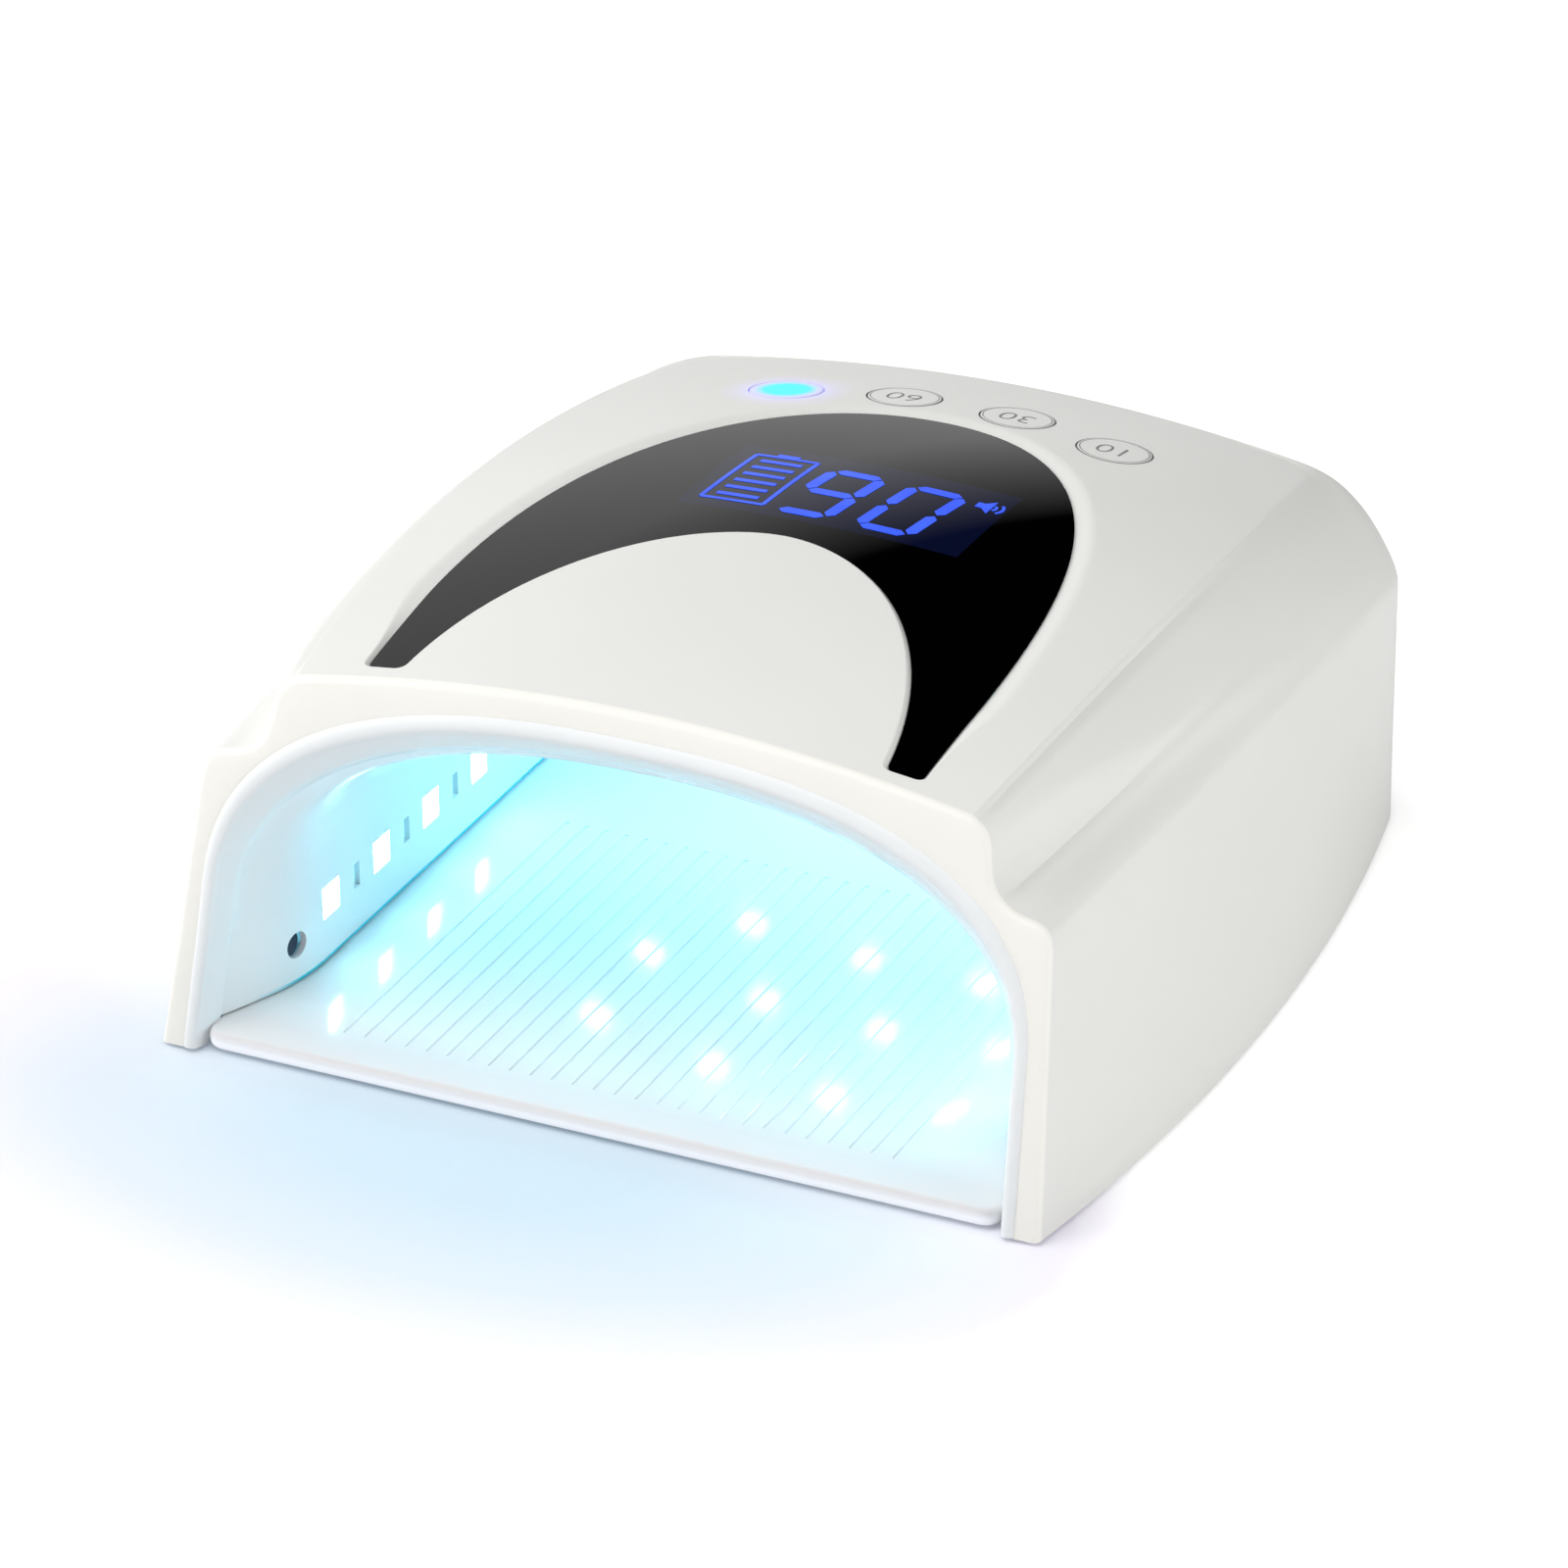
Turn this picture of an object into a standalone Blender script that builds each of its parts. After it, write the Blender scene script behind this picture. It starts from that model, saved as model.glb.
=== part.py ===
"""Cordless nail lamp: housing, reflector, magnetic base tray, keys, rear switch and inner parts.

Metres, +Z up, +X to the right seen from the hand opening, +Y to the rear.
The origin is on the table, in the middle of the lamp's outer size.
"""
import math

import bmesh
import bpy
from mathutils import Vector

for old in list(bpy.data.objects):
    bpy.data.objects.remove(old, do_unlink=True)

# Overall sizes of the housing
housing_length = 0.2303
body_height = 0.0990
wall = 0.0022
ground_gap = 0.0008
face_rake_share = 0.25

# Crown: a shallow dome, round along and across
crown_peak_share = 0.4677
crown_long_radius = 0.463
crown_cross_radius = 0.461

# Plan outlines: side inset, side arc radius, widest place along the length, rear inset, corner radius
base_half_width = 0.1123
base_side_radius = 0.560
base_widest_share = 0.4399
base_corner_radius = 0.021
ridge_height_share = 0.6111
ridge_side_inset = 0.0088
ridge_side_radius = 2.0
ridge_widest_share = 0.6657
ridge_rear_inset = 0.0008
ridge_corner_radius = 0.022
crown_side_inset = 0.0283
crown_side_radius = 0.800
crown_widest_share = 0.5137
crown_rear_inset = 0.0065
crown_corner_radius = 0.014
rear_arc_radius = 0.600

# Step between the shoulder ridge and the crown: inward and upward shares, at the face, the sides and the rear
front_step_in_shares = (0.0, 0.05, 0.17, 0.41, 0.59, 0.72, 0.79, 0.82, 0.90, 1.0)
front_step_up_shares = (0.0, 0.14, 0.21, 0.25, 0.32, 0.44, 0.60, 0.77, 0.91, 1.0)
side_step_in_shares = (0.0, 0.04, 0.11, 0.20, 0.31, 0.43, 0.56, 0.70, 0.85, 1.0)
side_step_up_shares = (0.0, 0.10, 0.21, 0.34, 0.47, 0.60, 0.73, 0.84, 0.93, 1.0)
rear_step_in_shares = (0.0, 0.02, 0.06, 0.12, 0.20, 0.31, 0.45, 0.62, 0.81, 1.0)
rear_step_up_shares = (0.0, 0.16, 0.32, 0.48, 0.63, 0.76, 0.87, 0.94, 0.985, 1.0)
step_fade_start_share = 0.0050
step_fade_end_shares = (0.87, 0.80, 0.70, 0.58, 0.46, 0.35, 0.26, 0.18, 0.12, 0.12)

# Fineness of the housing surfaces
side_steps = 14
corner_steps = 6
rear_steps = 5
face_steps = 10

# Rounded edges of small parts, and rounds of the search for a point on the face
edge_share = 0.3
search_rounds = 30

# Clearances
seam = 0.0003
running_gap = 0.0003
overrun = 0.0040

# Front bezel and its opening
bezel_lip = 0.0016
bezel_depth = 0.0060
bezel_leg_width = 0.0059
bezel_shoulder_inset = 0.0012
bezel_shoulder_share = 0.3434
bezel_opening_drop = 0.0137
bezel_power_share = 2.5

# Reflector liner
liner_wall = 0.0020
mouth_leg_rim = 0.0028
mouth_side_rim = 0.0035
mouth_top_rim = 0.0068
mouth_setback = 0.0010
mouth_lip_depth = 0.0066
cavity_side_inset = 0.0117
cavity_start_from_front = 0.0300
cavity_start_drop = 0.0240
cavity_rear_from_rear = 0.0323
cavity_rear_drop = 0.0435
cavity_power_share = 2.3
cavity_shoulder_share = 0.3030
flange_thickness = 0.0032
flange_wall_gap = 0.0022
flange_start_from_front = 0.0090
arch_steps = 12

# Side light windows and boards
window_side = 0.0090
window_centre_height = 0.0195
window_first_from_front = 0.0431
window_pitch = 0.0237
side_window_count = 4
slot_width = 0.0030
slot_height = 0.0060
sensor_from_front = 0.0291
sensor_height = 0.0144
sensor_radius = 0.0028
sensor_length = 0.0060
board_thickness = 0.0016
board_margin = 0.0060
board_half_height = 0.0080
bead_gap = 0.0003
bead_recess = 0.0008

# Ceiling light strips
strip_width = 0.0130
strip_end_inset = 0.0175
strip_steps = 16
strip_places_from_rear = (0.1070, 0.0790, 0.0540)
bead_pitch_share = 0.4412
bead_row_counts = (5, 5, 4)

# Base tray
tray_inset = 0.0106
tray_setback = 0.0014
tray_thickness = 0.0043
tray_corner_radius = 0.0045
tray_edge_radius = 0.0016
groove_count = 27
groove_pitch = 0.0050
groove_width = 0.0007
groove_depth = 0.0006
groove_start_from_front = 0.0133
groove_length = 0.1080
foot_radius = 0.0060
foot_thickness = 0.0018
foot_side_inset = 0.0268
foot_front_from_front = 0.0220
foot_rear_from_rear = 0.0273
magnet_radius = 0.0040
magnet_thickness = 0.0020
magnet_wall_gap = 0.0006
magnet_place_shares = (0.3257, 0.6513)

# Display window
lens_side_inset = 0.0188
lens_outer_centre_from_front = 0.0583
lens_rear_from_rear = 0.0482
lens_outer_power_share = 2.15
lens_leg_width = 0.0082
lens_inner_centre_from_front = 0.0183
lens_inner_from_rear = 0.1290
lens_inner_power_share = 1.85
lens_tip_from_front = 0.0280
lens_recess = 0.0014
lens_sink = 0.0002
lens_steps = 40
lens_rows = 6
display_width_share = 0.583
display_front_from_rear = 0.1203
display_rear_from_rear = 0.0843
display_opening_margin = 0.0015
display_board_margin = 0.0070
display_board_drop = 0.0008

# Keys, outer pair and inner pair, and the board under them
key_spacing_shares = (0.4833, 0.1667)
key_places_from_rear = (0.0423, 0.0356)
key_radius = 0.0086
key_collar = 0.0010
key_collar_thickness = 0.0010
key_edge = 0.0003
key_stand = 0.0001
key_steps = 24
key_board_place_from_rear = 0.0388
stem_radius = 0.0016
stem_reach = 0.0024
switch_side = 0.0062
switch_height = 0.0040
switch_top_drop = 0.0066
switch_floor = 0.0006
key_board_half_depth = 0.0125
key_post_radius = 0.0025
key_post_margin = 0.0010

# Battery
cell_radius = 0.00915
cell_end_inset = 0.0190
cell_gap = 0.0006
cell_steps = 16
cradle_base = 0.0016
cradle_rim = 0.0050
cradle_rim_wall = 0.0012
cradle_drop = 0.0322
cradle_leg_inset = 0.0050
cradle_leg_radius = 0.0030
cradle_leg_offset = 0.0120

# Rear socket and main switch
rear_part_height = 0.0300
jack_offset = -0.0180
jack_barrel_radius = 0.0039
jack_bore_radius = 0.0028
jack_pin_radius = 0.0009
jack_bore_depth = 0.0090
jack_body_radius = 0.0052
jack_body_depth = 0.0120
rocker_offset = 0.0120
rocker_flange_half_width = 0.0108
rocker_flange_half_height = 0.0075
rocker_flange_thickness = 0.0016
rocker_body_half_width = 0.0090
rocker_body_half_height = 0.0062
rocker_body_depth = 0.0120
rocker_well_half_width = 0.0075
rocker_well_half_height = 0.0052
rocker_well_depth = 0.0080
rocker_pivot_depth = 0.0020
rocker_end_stand = 0.0012
rocker_middle_stand = 0.0002
rocker_half_width = 0.0069
rocker_back_half_width = 0.0048
rocker_back_depth = 0.0030
rocker_pin_radius = 0.0009
rocker_angle = math.radians(8)

# Housing screws
boss_radius = 0.0036
boss_bite = 0.0010
boss_top = 0.0270
boss_bore_length = 0.0120
screw_shank_radius = 0.0013
screw_shank_length = 0.0110
screw_head_radius = 0.0026
screw_head_height = 0.0014
screw_sink = 0.0018
screw_place_shares = (0.1954, 0.4907, 0.7816)

# Derived sizes
ridge_height = body_height * ridge_height_share
ridge_half_width = base_half_width - ridge_side_inset
crown_half_width = base_half_width - crown_side_inset
crown_peak_from_front = housing_length * crown_peak_share
lens_outer_half_width = crown_half_width - lens_side_inset
lens_inner_half_width = lens_outer_half_width - lens_leg_width
lens_outer_reach = housing_length - lens_rear_from_rear - lens_outer_centre_from_front
lens_inner_reach = housing_length - lens_inner_from_rear - lens_inner_centre_from_front
display_half_width = lens_outer_half_width * display_width_share
key_half_spacings = [crown_half_width * share for share in key_spacing_shares]
key_post_half_spacing = key_half_spacings[0] + key_radius + key_collar + key_post_radius + key_post_margin
key_board_half_width = key_post_half_spacing + key_post_radius + key_post_margin
cell_length = crown_half_width - cell_end_inset
cradle_height = body_height - cradle_drop
cradle_leg_half_spacing = cell_length - cradle_leg_inset
cavity_start_height = body_height - cavity_start_drop
cavity_rear_height = body_height - cavity_rear_drop
cavity_shoulder_height = body_height * cavity_shoulder_share
bezel_opening_height = body_height - bezel_opening_drop
bezel_shoulder_height = body_height * bezel_shoulder_share
mouth_height = bezel_opening_height - mouth_top_rim

# Derived places
rocker_stand = (rocker_half_width * math.sin(rocker_angle) - rocker_pivot_depth
                + (rocker_end_stand + rocker_pivot_depth) * math.cos(rocker_angle))
rear_slope_share = (rear_part_height - ground_gap) / (ridge_height - ground_gap)
rear_stand = seam + rocker_flange_thickness + rocker_stand - ridge_rear_inset * rear_slope_share
front_y = -(housing_length + face_rake_share * ground_gap + rear_stand) / 2
rear_y = front_y + housing_length
tray_top = ground_gap + tray_thickness
liner_foot = tray_top + seam
flange_top = liner_foot + flange_thickness


def station(distance):
    """The y of a place given by its distance from the front end."""
    return front_y + distance


def rear_station(distance):
    """The y of a place given by its distance from the rear end."""
    return rear_y - distance


def share_station(share):
    """The y of a place given by its share of the housing's length."""
    return front_y + share * housing_length


def face_y(z):
    """The raked front face: its y at a height."""
    return front_y + face_rake_share * z


def crown_z(x, y):
    """Height of the domed top."""
    along = y - station(crown_peak_from_front)
    return body_height - along ** 2 / (2 * crown_long_radius) - x ** 2 / (2 * crown_cross_radius)


# Materials
def finish(name, colour, roughness, metallic=0.0):
    """A Principled material with the part's plain colour."""
    made = bpy.data.materials.get(name)
    if made is None:
        made = bpy.data.materials.new(name)
        made.use_nodes = True
        shader = made.node_tree.nodes["Principled BSDF"]
        shader.inputs["Base Color"].default_value = (*colour, 1.0)
        shader.inputs["Roughness"].default_value = roughness
        shader.inputs["Metallic"].default_value = metallic
        made.diffuse_color = (*colour, 1.0)
    return made


def shell_white():
    return finish("warm_white_plastic", (0.80, 0.80, 0.77), 0.38)


def bezel_cream():
    return finish("cream_plastic", (0.84, 0.82, 0.77), 0.40)


def liner_white():
    return finish("cool_white_plastic", (0.80, 0.86, 0.92), 0.25)


def window_black():
    return finish("gloss_black_plastic", (0.008, 0.008, 0.009), 0.08)


def board_green():
    return finish("circuit_board", (0.02, 0.16, 0.07), 0.50)


def lamp_board():
    return finish("white_light_board", (0.75, 0.85, 0.95), 0.45)


def dark_plastic():
    return finish("dark_plastic", (0.02, 0.02, 0.022), 0.45)


def steel():
    return finish("plated_steel", (0.60, 0.61, 0.62), 0.30, 1.0)


def soft_rubber():
    return finish("grey_rubber", (0.16, 0.16, 0.17), 0.85)


def cell_wrap():
    return finish("cell_wrap", (0.04, 0.16, 0.40), 0.40)


# Mesh helpers
def add_object(name, verts, faces, material):
    """One named object from points and faces, in triangles, its normals turned outwards."""
    mesh = bpy.data.meshes.new(name)
    mesh.from_pydata([tuple(map(float, v)) for v in verts], [], faces)
    work = bmesh.new()
    work.from_mesh(mesh)
    bmesh.ops.recalc_face_normals(work, faces=work.faces)
    bmesh.ops.triangulate(work, faces=work.faces)
    work.to_mesh(mesh)
    work.free()
    mesh.shade_smooth()
    mesh.set_sharp_from_angle(angle=math.radians(35))
    made = bpy.data.objects.new(name, mesh)
    bpy.context.scene.collection.objects.link(made)
    if material is not None:
        mesh.materials.append(material)
    return made


def loft(name, rings, material):
    """A closed solid through rings with the same number of points, capped at both ends."""
    count = len(rings[0])
    verts = [point for ring in rings for point in ring]
    faces = []
    for row in range(len(rings) - 1):
        for k in range(count):
            a = row * count + k
            b = row * count + (k + 1) % count
            faces.append((a, b, b + count, a + count))
    faces.append(tuple(range(count - 1, -1, -1)))
    last = (len(rings) - 1) * count
    faces.append(tuple(range(last, last + count)))
    return add_object(name, verts, faces, material)


def box(name, low, high, material):
    """A block between two corners."""
    x0, y0, z0 = low
    x1, y1, z1 = high
    bottom = [(x0, y0, z0), (x1, y0, z0), (x1, y1, z0), (x0, y1, z0)]
    top = [(x, y, z1) for x, y, z in bottom]
    return loft(name, [bottom, top], material)


def disc_ring(centre, radius, axis, steps):
    """Points of a circle round an axis."""
    axis = Vector(axis).normalized()
    side = axis.orthogonal().normalized()
    other = axis.cross(side)
    centre = Vector(centre)
    turn = 2 * math.pi / steps
    return [centre + radius * (math.cos(k * turn) * side + math.sin(k * turn) * other) for k in range(steps)]


def turned(name, start, axis, profile, material, steps=20):
    """A round solid: profile is a list of (radius, height along the axis)."""
    axis = Vector(axis).normalized()
    rings = [disc_ring(Vector(start) + axis * height, radius, axis, steps) for radius, height in profile]
    return loft(name, rings, material)


def combine(target, tool, operation):
    """Cut a solid by a tool, or join the tool to it."""
    step = target.modifiers.new(tool.name, "BOOLEAN")
    step.operation = operation
    step.solver = "EXACT"
    step.object = tool
    tool.hide_render = True
    tool.display_type = "WIRE"


def cut(target, tool):
    combine(target, tool, "DIFFERENCE")


def fuse(target, tool):
    combine(target, tool, "UNION")


def merged(name, tools):
    """Several separate cutters as one object."""
    work = bmesh.new()
    for tool in tools:
        work.from_mesh(tool.data)
        bpy.data.objects.remove(tool, do_unlink=True)
    mesh = bpy.data.meshes.new(name)
    work.to_mesh(mesh)
    work.free()
    made = bpy.data.objects.new(name, mesh)
    bpy.context.scene.collection.objects.link(made)
    return made


# Plan outlines
class Outline:
    """A plan outline, straight-ended at the front: side arc, corner arc and rear arc."""

    def __init__(self, half_width, side_radius, widest, rear, corner_radius):
        self.half_width = half_width
        self.side_radius = side_radius
        self.widest_y = share_station(widest)
        self.rear_y = rear
        self.corner_radius = corner_radius

    def side_x(self, y, inset=0.0):
        """Half width at a y."""
        radius = self.side_radius - inset
        middle = self.half_width - self.side_radius
        return middle + math.sqrt(radius ** 2 - (y - self.widest_y) ** 2)

    def rear_at(self, x, inset=0.0):
        """The rear end's y at an x."""
        radius = rear_arc_radius - inset
        return self.rear_y - rear_arc_radius + math.sqrt(radius ** 2 - x ** 2)

    def corner_centre(self):
        """Centre of the arc that touches the side arc and the rear arc from inside."""
        side = Vector((self.half_width - self.side_radius, self.widest_y))
        rear = Vector((0.0, self.rear_y - rear_arc_radius))
        to_side = self.side_radius - self.corner_radius
        to_rear = rear_arc_radius - self.corner_radius
        gap = (rear - side).length
        along = (to_side ** 2 - to_rear ** 2 + gap ** 2) / (2 * gap)
        across = math.sqrt(to_side ** 2 - along ** 2)
        unit = (rear - side) / gap
        return side + unit * along + Vector((-unit.y, unit.x)) * across, side, rear

    def half(self, start_y, inset=0.0):
        """Points from the front along the right side to the middle of the rear."""
        centre, side, rear = self.corner_centre()
        first = math.atan2((centre - side).y, (centre - side).x)
        second = math.atan2((centre - rear).y, (centre - rear).x)
        radius = self.side_radius - inset
        begin = math.asin((start_y - side.y) / radius)
        points = []
        for k in range(side_steps):
            angle = begin + (first - begin) * k / side_steps
            points.append((side.x + radius * math.cos(angle), side.y + radius * math.sin(angle)))
        small = self.corner_radius - inset
        for k in range(corner_steps):
            angle = first + (second - first) * k / corner_steps
            points.append((centre.x + small * math.cos(angle), centre.y + small * math.sin(angle)))
        large = rear_arc_radius - inset
        for k in range(rear_steps + 1):
            angle = second + (math.pi / 2 - second) * k / rear_steps
            points.append((rear.x + large * math.cos(angle), rear.y + large * math.sin(angle)))
        points[-1] = (0.0, points[-1][1])
        return points


base_line = Outline(base_half_width, base_side_radius, base_widest_share, rear_y, base_corner_radius)
ridge_line = Outline(ridge_half_width, ridge_side_radius, ridge_widest_share,
                     rear_y - ridge_rear_inset, ridge_corner_radius)
crown_line = Outline(crown_half_width, crown_side_radius, crown_widest_share,
                     rear_y - crown_rear_inset, crown_corner_radius)
bezel_leg_half_width = base_line.side_x(front_y) - bezel_leg_width
bezel_shoulder_half_width = bezel_leg_half_width - bezel_shoulder_inset
mouth_leg_half_width = bezel_leg_half_width - mouth_leg_rim
mouth_half_width = bezel_shoulder_half_width - mouth_side_rim
cavity_half_width = bezel_leg_half_width - cavity_side_inset
strip_half_length = cavity_half_width - strip_end_inset
bead_pitch = strip_half_length * bead_pitch_share


def crown_front(depth):
    """Half width, y and height where the crown's edge meets the face, a depth behind it."""
    z = body_height
    for _ in range(search_rounds):
        y = face_y(z) + depth
        x = crown_line.side_x(y)
        z = crown_z(x, y)
    return x, y, z


def crest_point(x, depth):
    """The point of the crown on the face plane at an x."""
    z = body_height
    for _ in range(search_rounds):
        z = crown_z(x, face_y(z) + depth)
    return face_y(z) + depth, z


def step_row(k, place, turn):
    """Inward and upward share of a row of the step: place runs along the side, turn round the rear corner."""
    fade = smooth((place - step_fade_start_share) / (step_fade_end_shares[k] - step_fade_start_share))
    inward = front_step_in_shares[k] * (1 - fade) + side_step_in_shares[k] * fade
    upward = front_step_up_shares[k] * (1 - fade) + side_step_up_shares[k] * fade
    inward += turn * (rear_step_in_shares[k] - inward)
    upward += turn * (rear_step_up_shares[k] - upward)
    return inward, upward


def smooth(value):
    value = min(max(value, 0.0), 1.0)
    return value * value * (3 - 2 * value)


def shell_columns(depth):
    """Right half of the housing's skin: one column of points, floor to crown edge, per outline place."""
    base_z = ground_gap
    base = base_line.half(face_y(base_z) + depth)
    ridge = ridge_line.half(face_y(ridge_height) + depth)
    crown = crown_line.half(crown_front(depth)[1])
    rows = len(front_step_in_shares)
    settle = side_steps // 2
    columns = []
    for k, (low, mid, high) in enumerate(zip(base, ridge, crown)):
        top_z = crown_z(*high)
        place = (mid[1] - front_y) / housing_length
        turn = smooth((k - side_steps) / corner_steps)
        column = [Vector((low[0], low[1], base_z))]
        for row in range(rows):
            inward, upward = step_row(row, place, turn)
            z = ridge_height + upward * (top_z - ridge_height)
            x = mid[0] + inward * (high[0] - mid[0])
            y = mid[1] + inward * (high[1] - mid[1])
            start = face_y(ridge_height) + depth
            start += inward * (crown_front(depth)[1] - start)
            y += (face_y(z) + depth - start) * max(0.0, 1 - k / settle)
            column.append(Vector((x, y, z)))
        columns.append(column)
    return columns


def mirrored(point):
    return Vector((-point[0], point[1], point[2]))


def shell_skin(depth):
    """Points and faces of the whole outer skin, open at the front and below."""
    right = shell_columns(depth)
    left = [[mirrored(p) for p in column] for column in reversed(right[:-1])]
    columns = right + left
    rows = len(columns[0])
    verts = [p for column in columns for p in column]
    faces = []
    for c in range(len(columns) - 1):
        for r in range(rows - 1):
            a = c * rows + r
            faces.append((a, a + rows, a + rows + 1, a + 1))
    # Crown cap: a grid between the two sides, the rear and the face
    along = side_steps + corner_steps // 2
    across = len(columns) - 1 - 2 * along
    edge = [c * rows + rows - 1 for c in range(len(columns))]
    grid = {}
    for b in range(along + 1):
        grid[(0, b)] = edge[b]
        grid[(across, b)] = edge[len(columns) - 1 - b]
    for a in range(across + 1):
        grid[(a, along)] = edge[along + a]
    half_front = verts[edge[0]].x
    for b in range(along):
        for a in range(1, across):
            s = a / across
            t = b / along
            right_p = verts[grid[(0, b)]]
            left_p = verts[grid[(across, b)]]
            rear_p = verts[grid[(a, along)]]
            front_x = half_front * (1 - 2 * s)
            front_p = Vector((front_x, crest_point(front_x, depth)[0]))
            corners = (verts[edge[0]], verts[edge[-1]], verts[grid[(0, along)]], verts[grid[(across, along)]])
            x, y = blend_patch(s, t, right_p, left_p, front_p, rear_p, corners)
            z = crown_z(x, y)
            if b == 0:
                x = front_x
                y, z = crest_point(front_x, depth)
            grid[(a, b)] = len(verts)
            verts.append(Vector((x, y, z)))
    for b in range(along):
        for a in range(across):
            faces.append((grid[(a, b)], grid[(a, b + 1)], grid[(a + 1, b + 1)], grid[(a + 1, b)]))
    return verts, faces


def blend_patch(s, t, right_p, left_p, front_p, rear_p, corners):
    """Plan position inside a four-sided patch, from its four borders."""
    out = []
    for k in range(2):
        across = (1 - s) * right_p[k] + s * left_p[k]
        along = (1 - t) * front_p[k] + t * rear_p[k]
        bilinear = ((1 - s) * (1 - t) * corners[0][k] + s * (1 - t) * corners[1][k]
                    + (1 - s) * t * corners[2][k] + s * t * corners[3][k])
        out.append(across + along - bilinear)
    return out


def thickened(name, verts, faces, thickness, settle, material):
    """A shell: the skin, its inward offset, and the rim between them. settle places inner rim points."""
    work = bmesh.new()
    made = [work.verts.new(v) for v in verts]
    for face in faces:
        work.faces.new([made[i] for i in face])
    work.normal_update()
    inner = [v.co - v.normal * thickness for v in made]
    for i, vert in enumerate(made):
        if vert.is_boundary:
            inner[i] = settle(verts[i], inner[i])
    work.free()
    count = len(verts)
    uses = {(a, b) for face in faces for a, b in zip(face, face[1:] + face[:1])}
    shell_faces = list(faces) + [tuple(i + count for i in reversed(face)) for face in faces]
    for a, b in sorted(uses):
        if (b, a) not in uses:
            shell_faces.append((b, a, a + count, b + count))
    return add_object(name, list(verts) + inner, shell_faces, material)


def offset_line(points, distance, closed=False):
    """A plan or section line moved sideways, to the left of its direction."""
    count = len(points)
    out = []
    for k in range(count):
        before = points[k - 1] if k or closed else points[k]
        after = points[(k + 1) % count] if k < count - 1 or closed else points[k]
        here = Vector(points[k])
        first = (here - Vector(before)).normalized() if here != Vector(before) else None
        second = (Vector(after) - here).normalized() if here != Vector(after) else None
        first = first or second
        second = second or first
        normal = Vector((-first.y - second.y, first.x + second.x))
        normal = normal.normalized()
        spread = max(0.5, normal.dot(Vector((-first.y, first.x))))
        out.append(tuple(here + normal * distance / spread))
    return out


def line_shares(points):
    """How far along its line each point lies, as a share."""
    lengths = [0.0]
    for a, b in zip(points, points[1:]):
        lengths.append(lengths[-1] + (Vector(b) - Vector(a)).length)
    return [length / lengths[-1] for length in lengths]


def resampled(points, marks, shares):
    """Points of a line at given shares of its length; marks are the shares of its own points."""
    out = []
    for share in shares:
        k = 1
        while k < len(marks) - 1 and marks[k] < share:
            k += 1
        part = (share - marks[k - 1]) / (marks[k] - marks[k - 1])
        out.append(Vector(points[k - 1]).lerp(Vector(points[k]), part))
    return out


# Housing
def rear_wall_y(x, z):
    """Outer face of the rear wall."""
    rise = (z - ground_gap) / (ridge_height - ground_gap)
    return base_line.rear_at(x) - ridge_rear_inset * rise


def side_wall_x(y, z):
    """Outer face of the side wall."""
    rise = (z - ground_gap) / (ridge_height - ground_gap)
    low = base_line.side_x(y)
    return low + (ridge_line.side_x(y) - low) * rise


def boss_places():
    """Where the screws go up into the housing."""
    places = []
    for share in screw_place_shares:
        y = share_station(share)
        x = side_wall_x(y, boss_top) - wall - boss_radius + boss_bite
        places += [(x, y), (-x, y)]
    return places


class TiltedFrame:
    """A frame on the crown whose third axis is the travel of the keys."""

    def __init__(self, x, distance):
        along = rear_station(key_board_place_from_rear) - station(crown_peak_from_front)
        slope = -along / crown_long_radius
        self.up = Vector((0, -slope, 1)).normalized()
        self.back = Vector((0, 1, slope)).normalized()
        y = rear_station(distance)
        self.origin = Vector((x, y, crown_z(x, y)))

    def point(self, a, b, height):
        return self.origin + Vector((a, 0, 0)) + self.back * b + self.up * height

    def ring(self, radius, height, steps=key_steps):
        turn = 2 * math.pi / steps
        return [self.point(radius * math.cos(k * turn), radius * math.sin(k * turn), height) for k in range(steps)]

    def on_crown(self, radius, stand, steps=key_steps):
        """A ring that follows the crown, a little proud of it."""
        turn = 2 * math.pi / steps
        ring = []
        for k in range(steps):
            flat = self.point(radius * math.cos(k * turn), radius * math.sin(k * turn), 0)
            ring.append(flat + self.up * ((crown_z(flat.x, flat.y) - flat.z) * self.up.z + stand))
        return ring

    def rectangle(self, half_a, half_b, height):
        corners = ((-1, -1), (1, -1), (1, 1), (-1, 1))
        return [self.point(a * half_a, b * half_b, height) for a, b in corners]


def key_frames():
    """Frames of the four keys, from left to right."""
    pairs = list(zip(key_half_spacings, key_places_from_rear))
    left = [TiltedFrame(-x, place) for x, place in pairs]
    right = [TiltedFrame(x, place) for x, place in reversed(pairs)]
    return left + right


def board_frame():
    return TiltedFrame(0.0, key_board_place_from_rear)


def switch_top(frame):
    """Height of the switches' tops in a key's own frame: they all stand on one flat board."""
    return (board_frame().origin - frame.origin).dot(frame.up) - switch_top_drop


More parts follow.
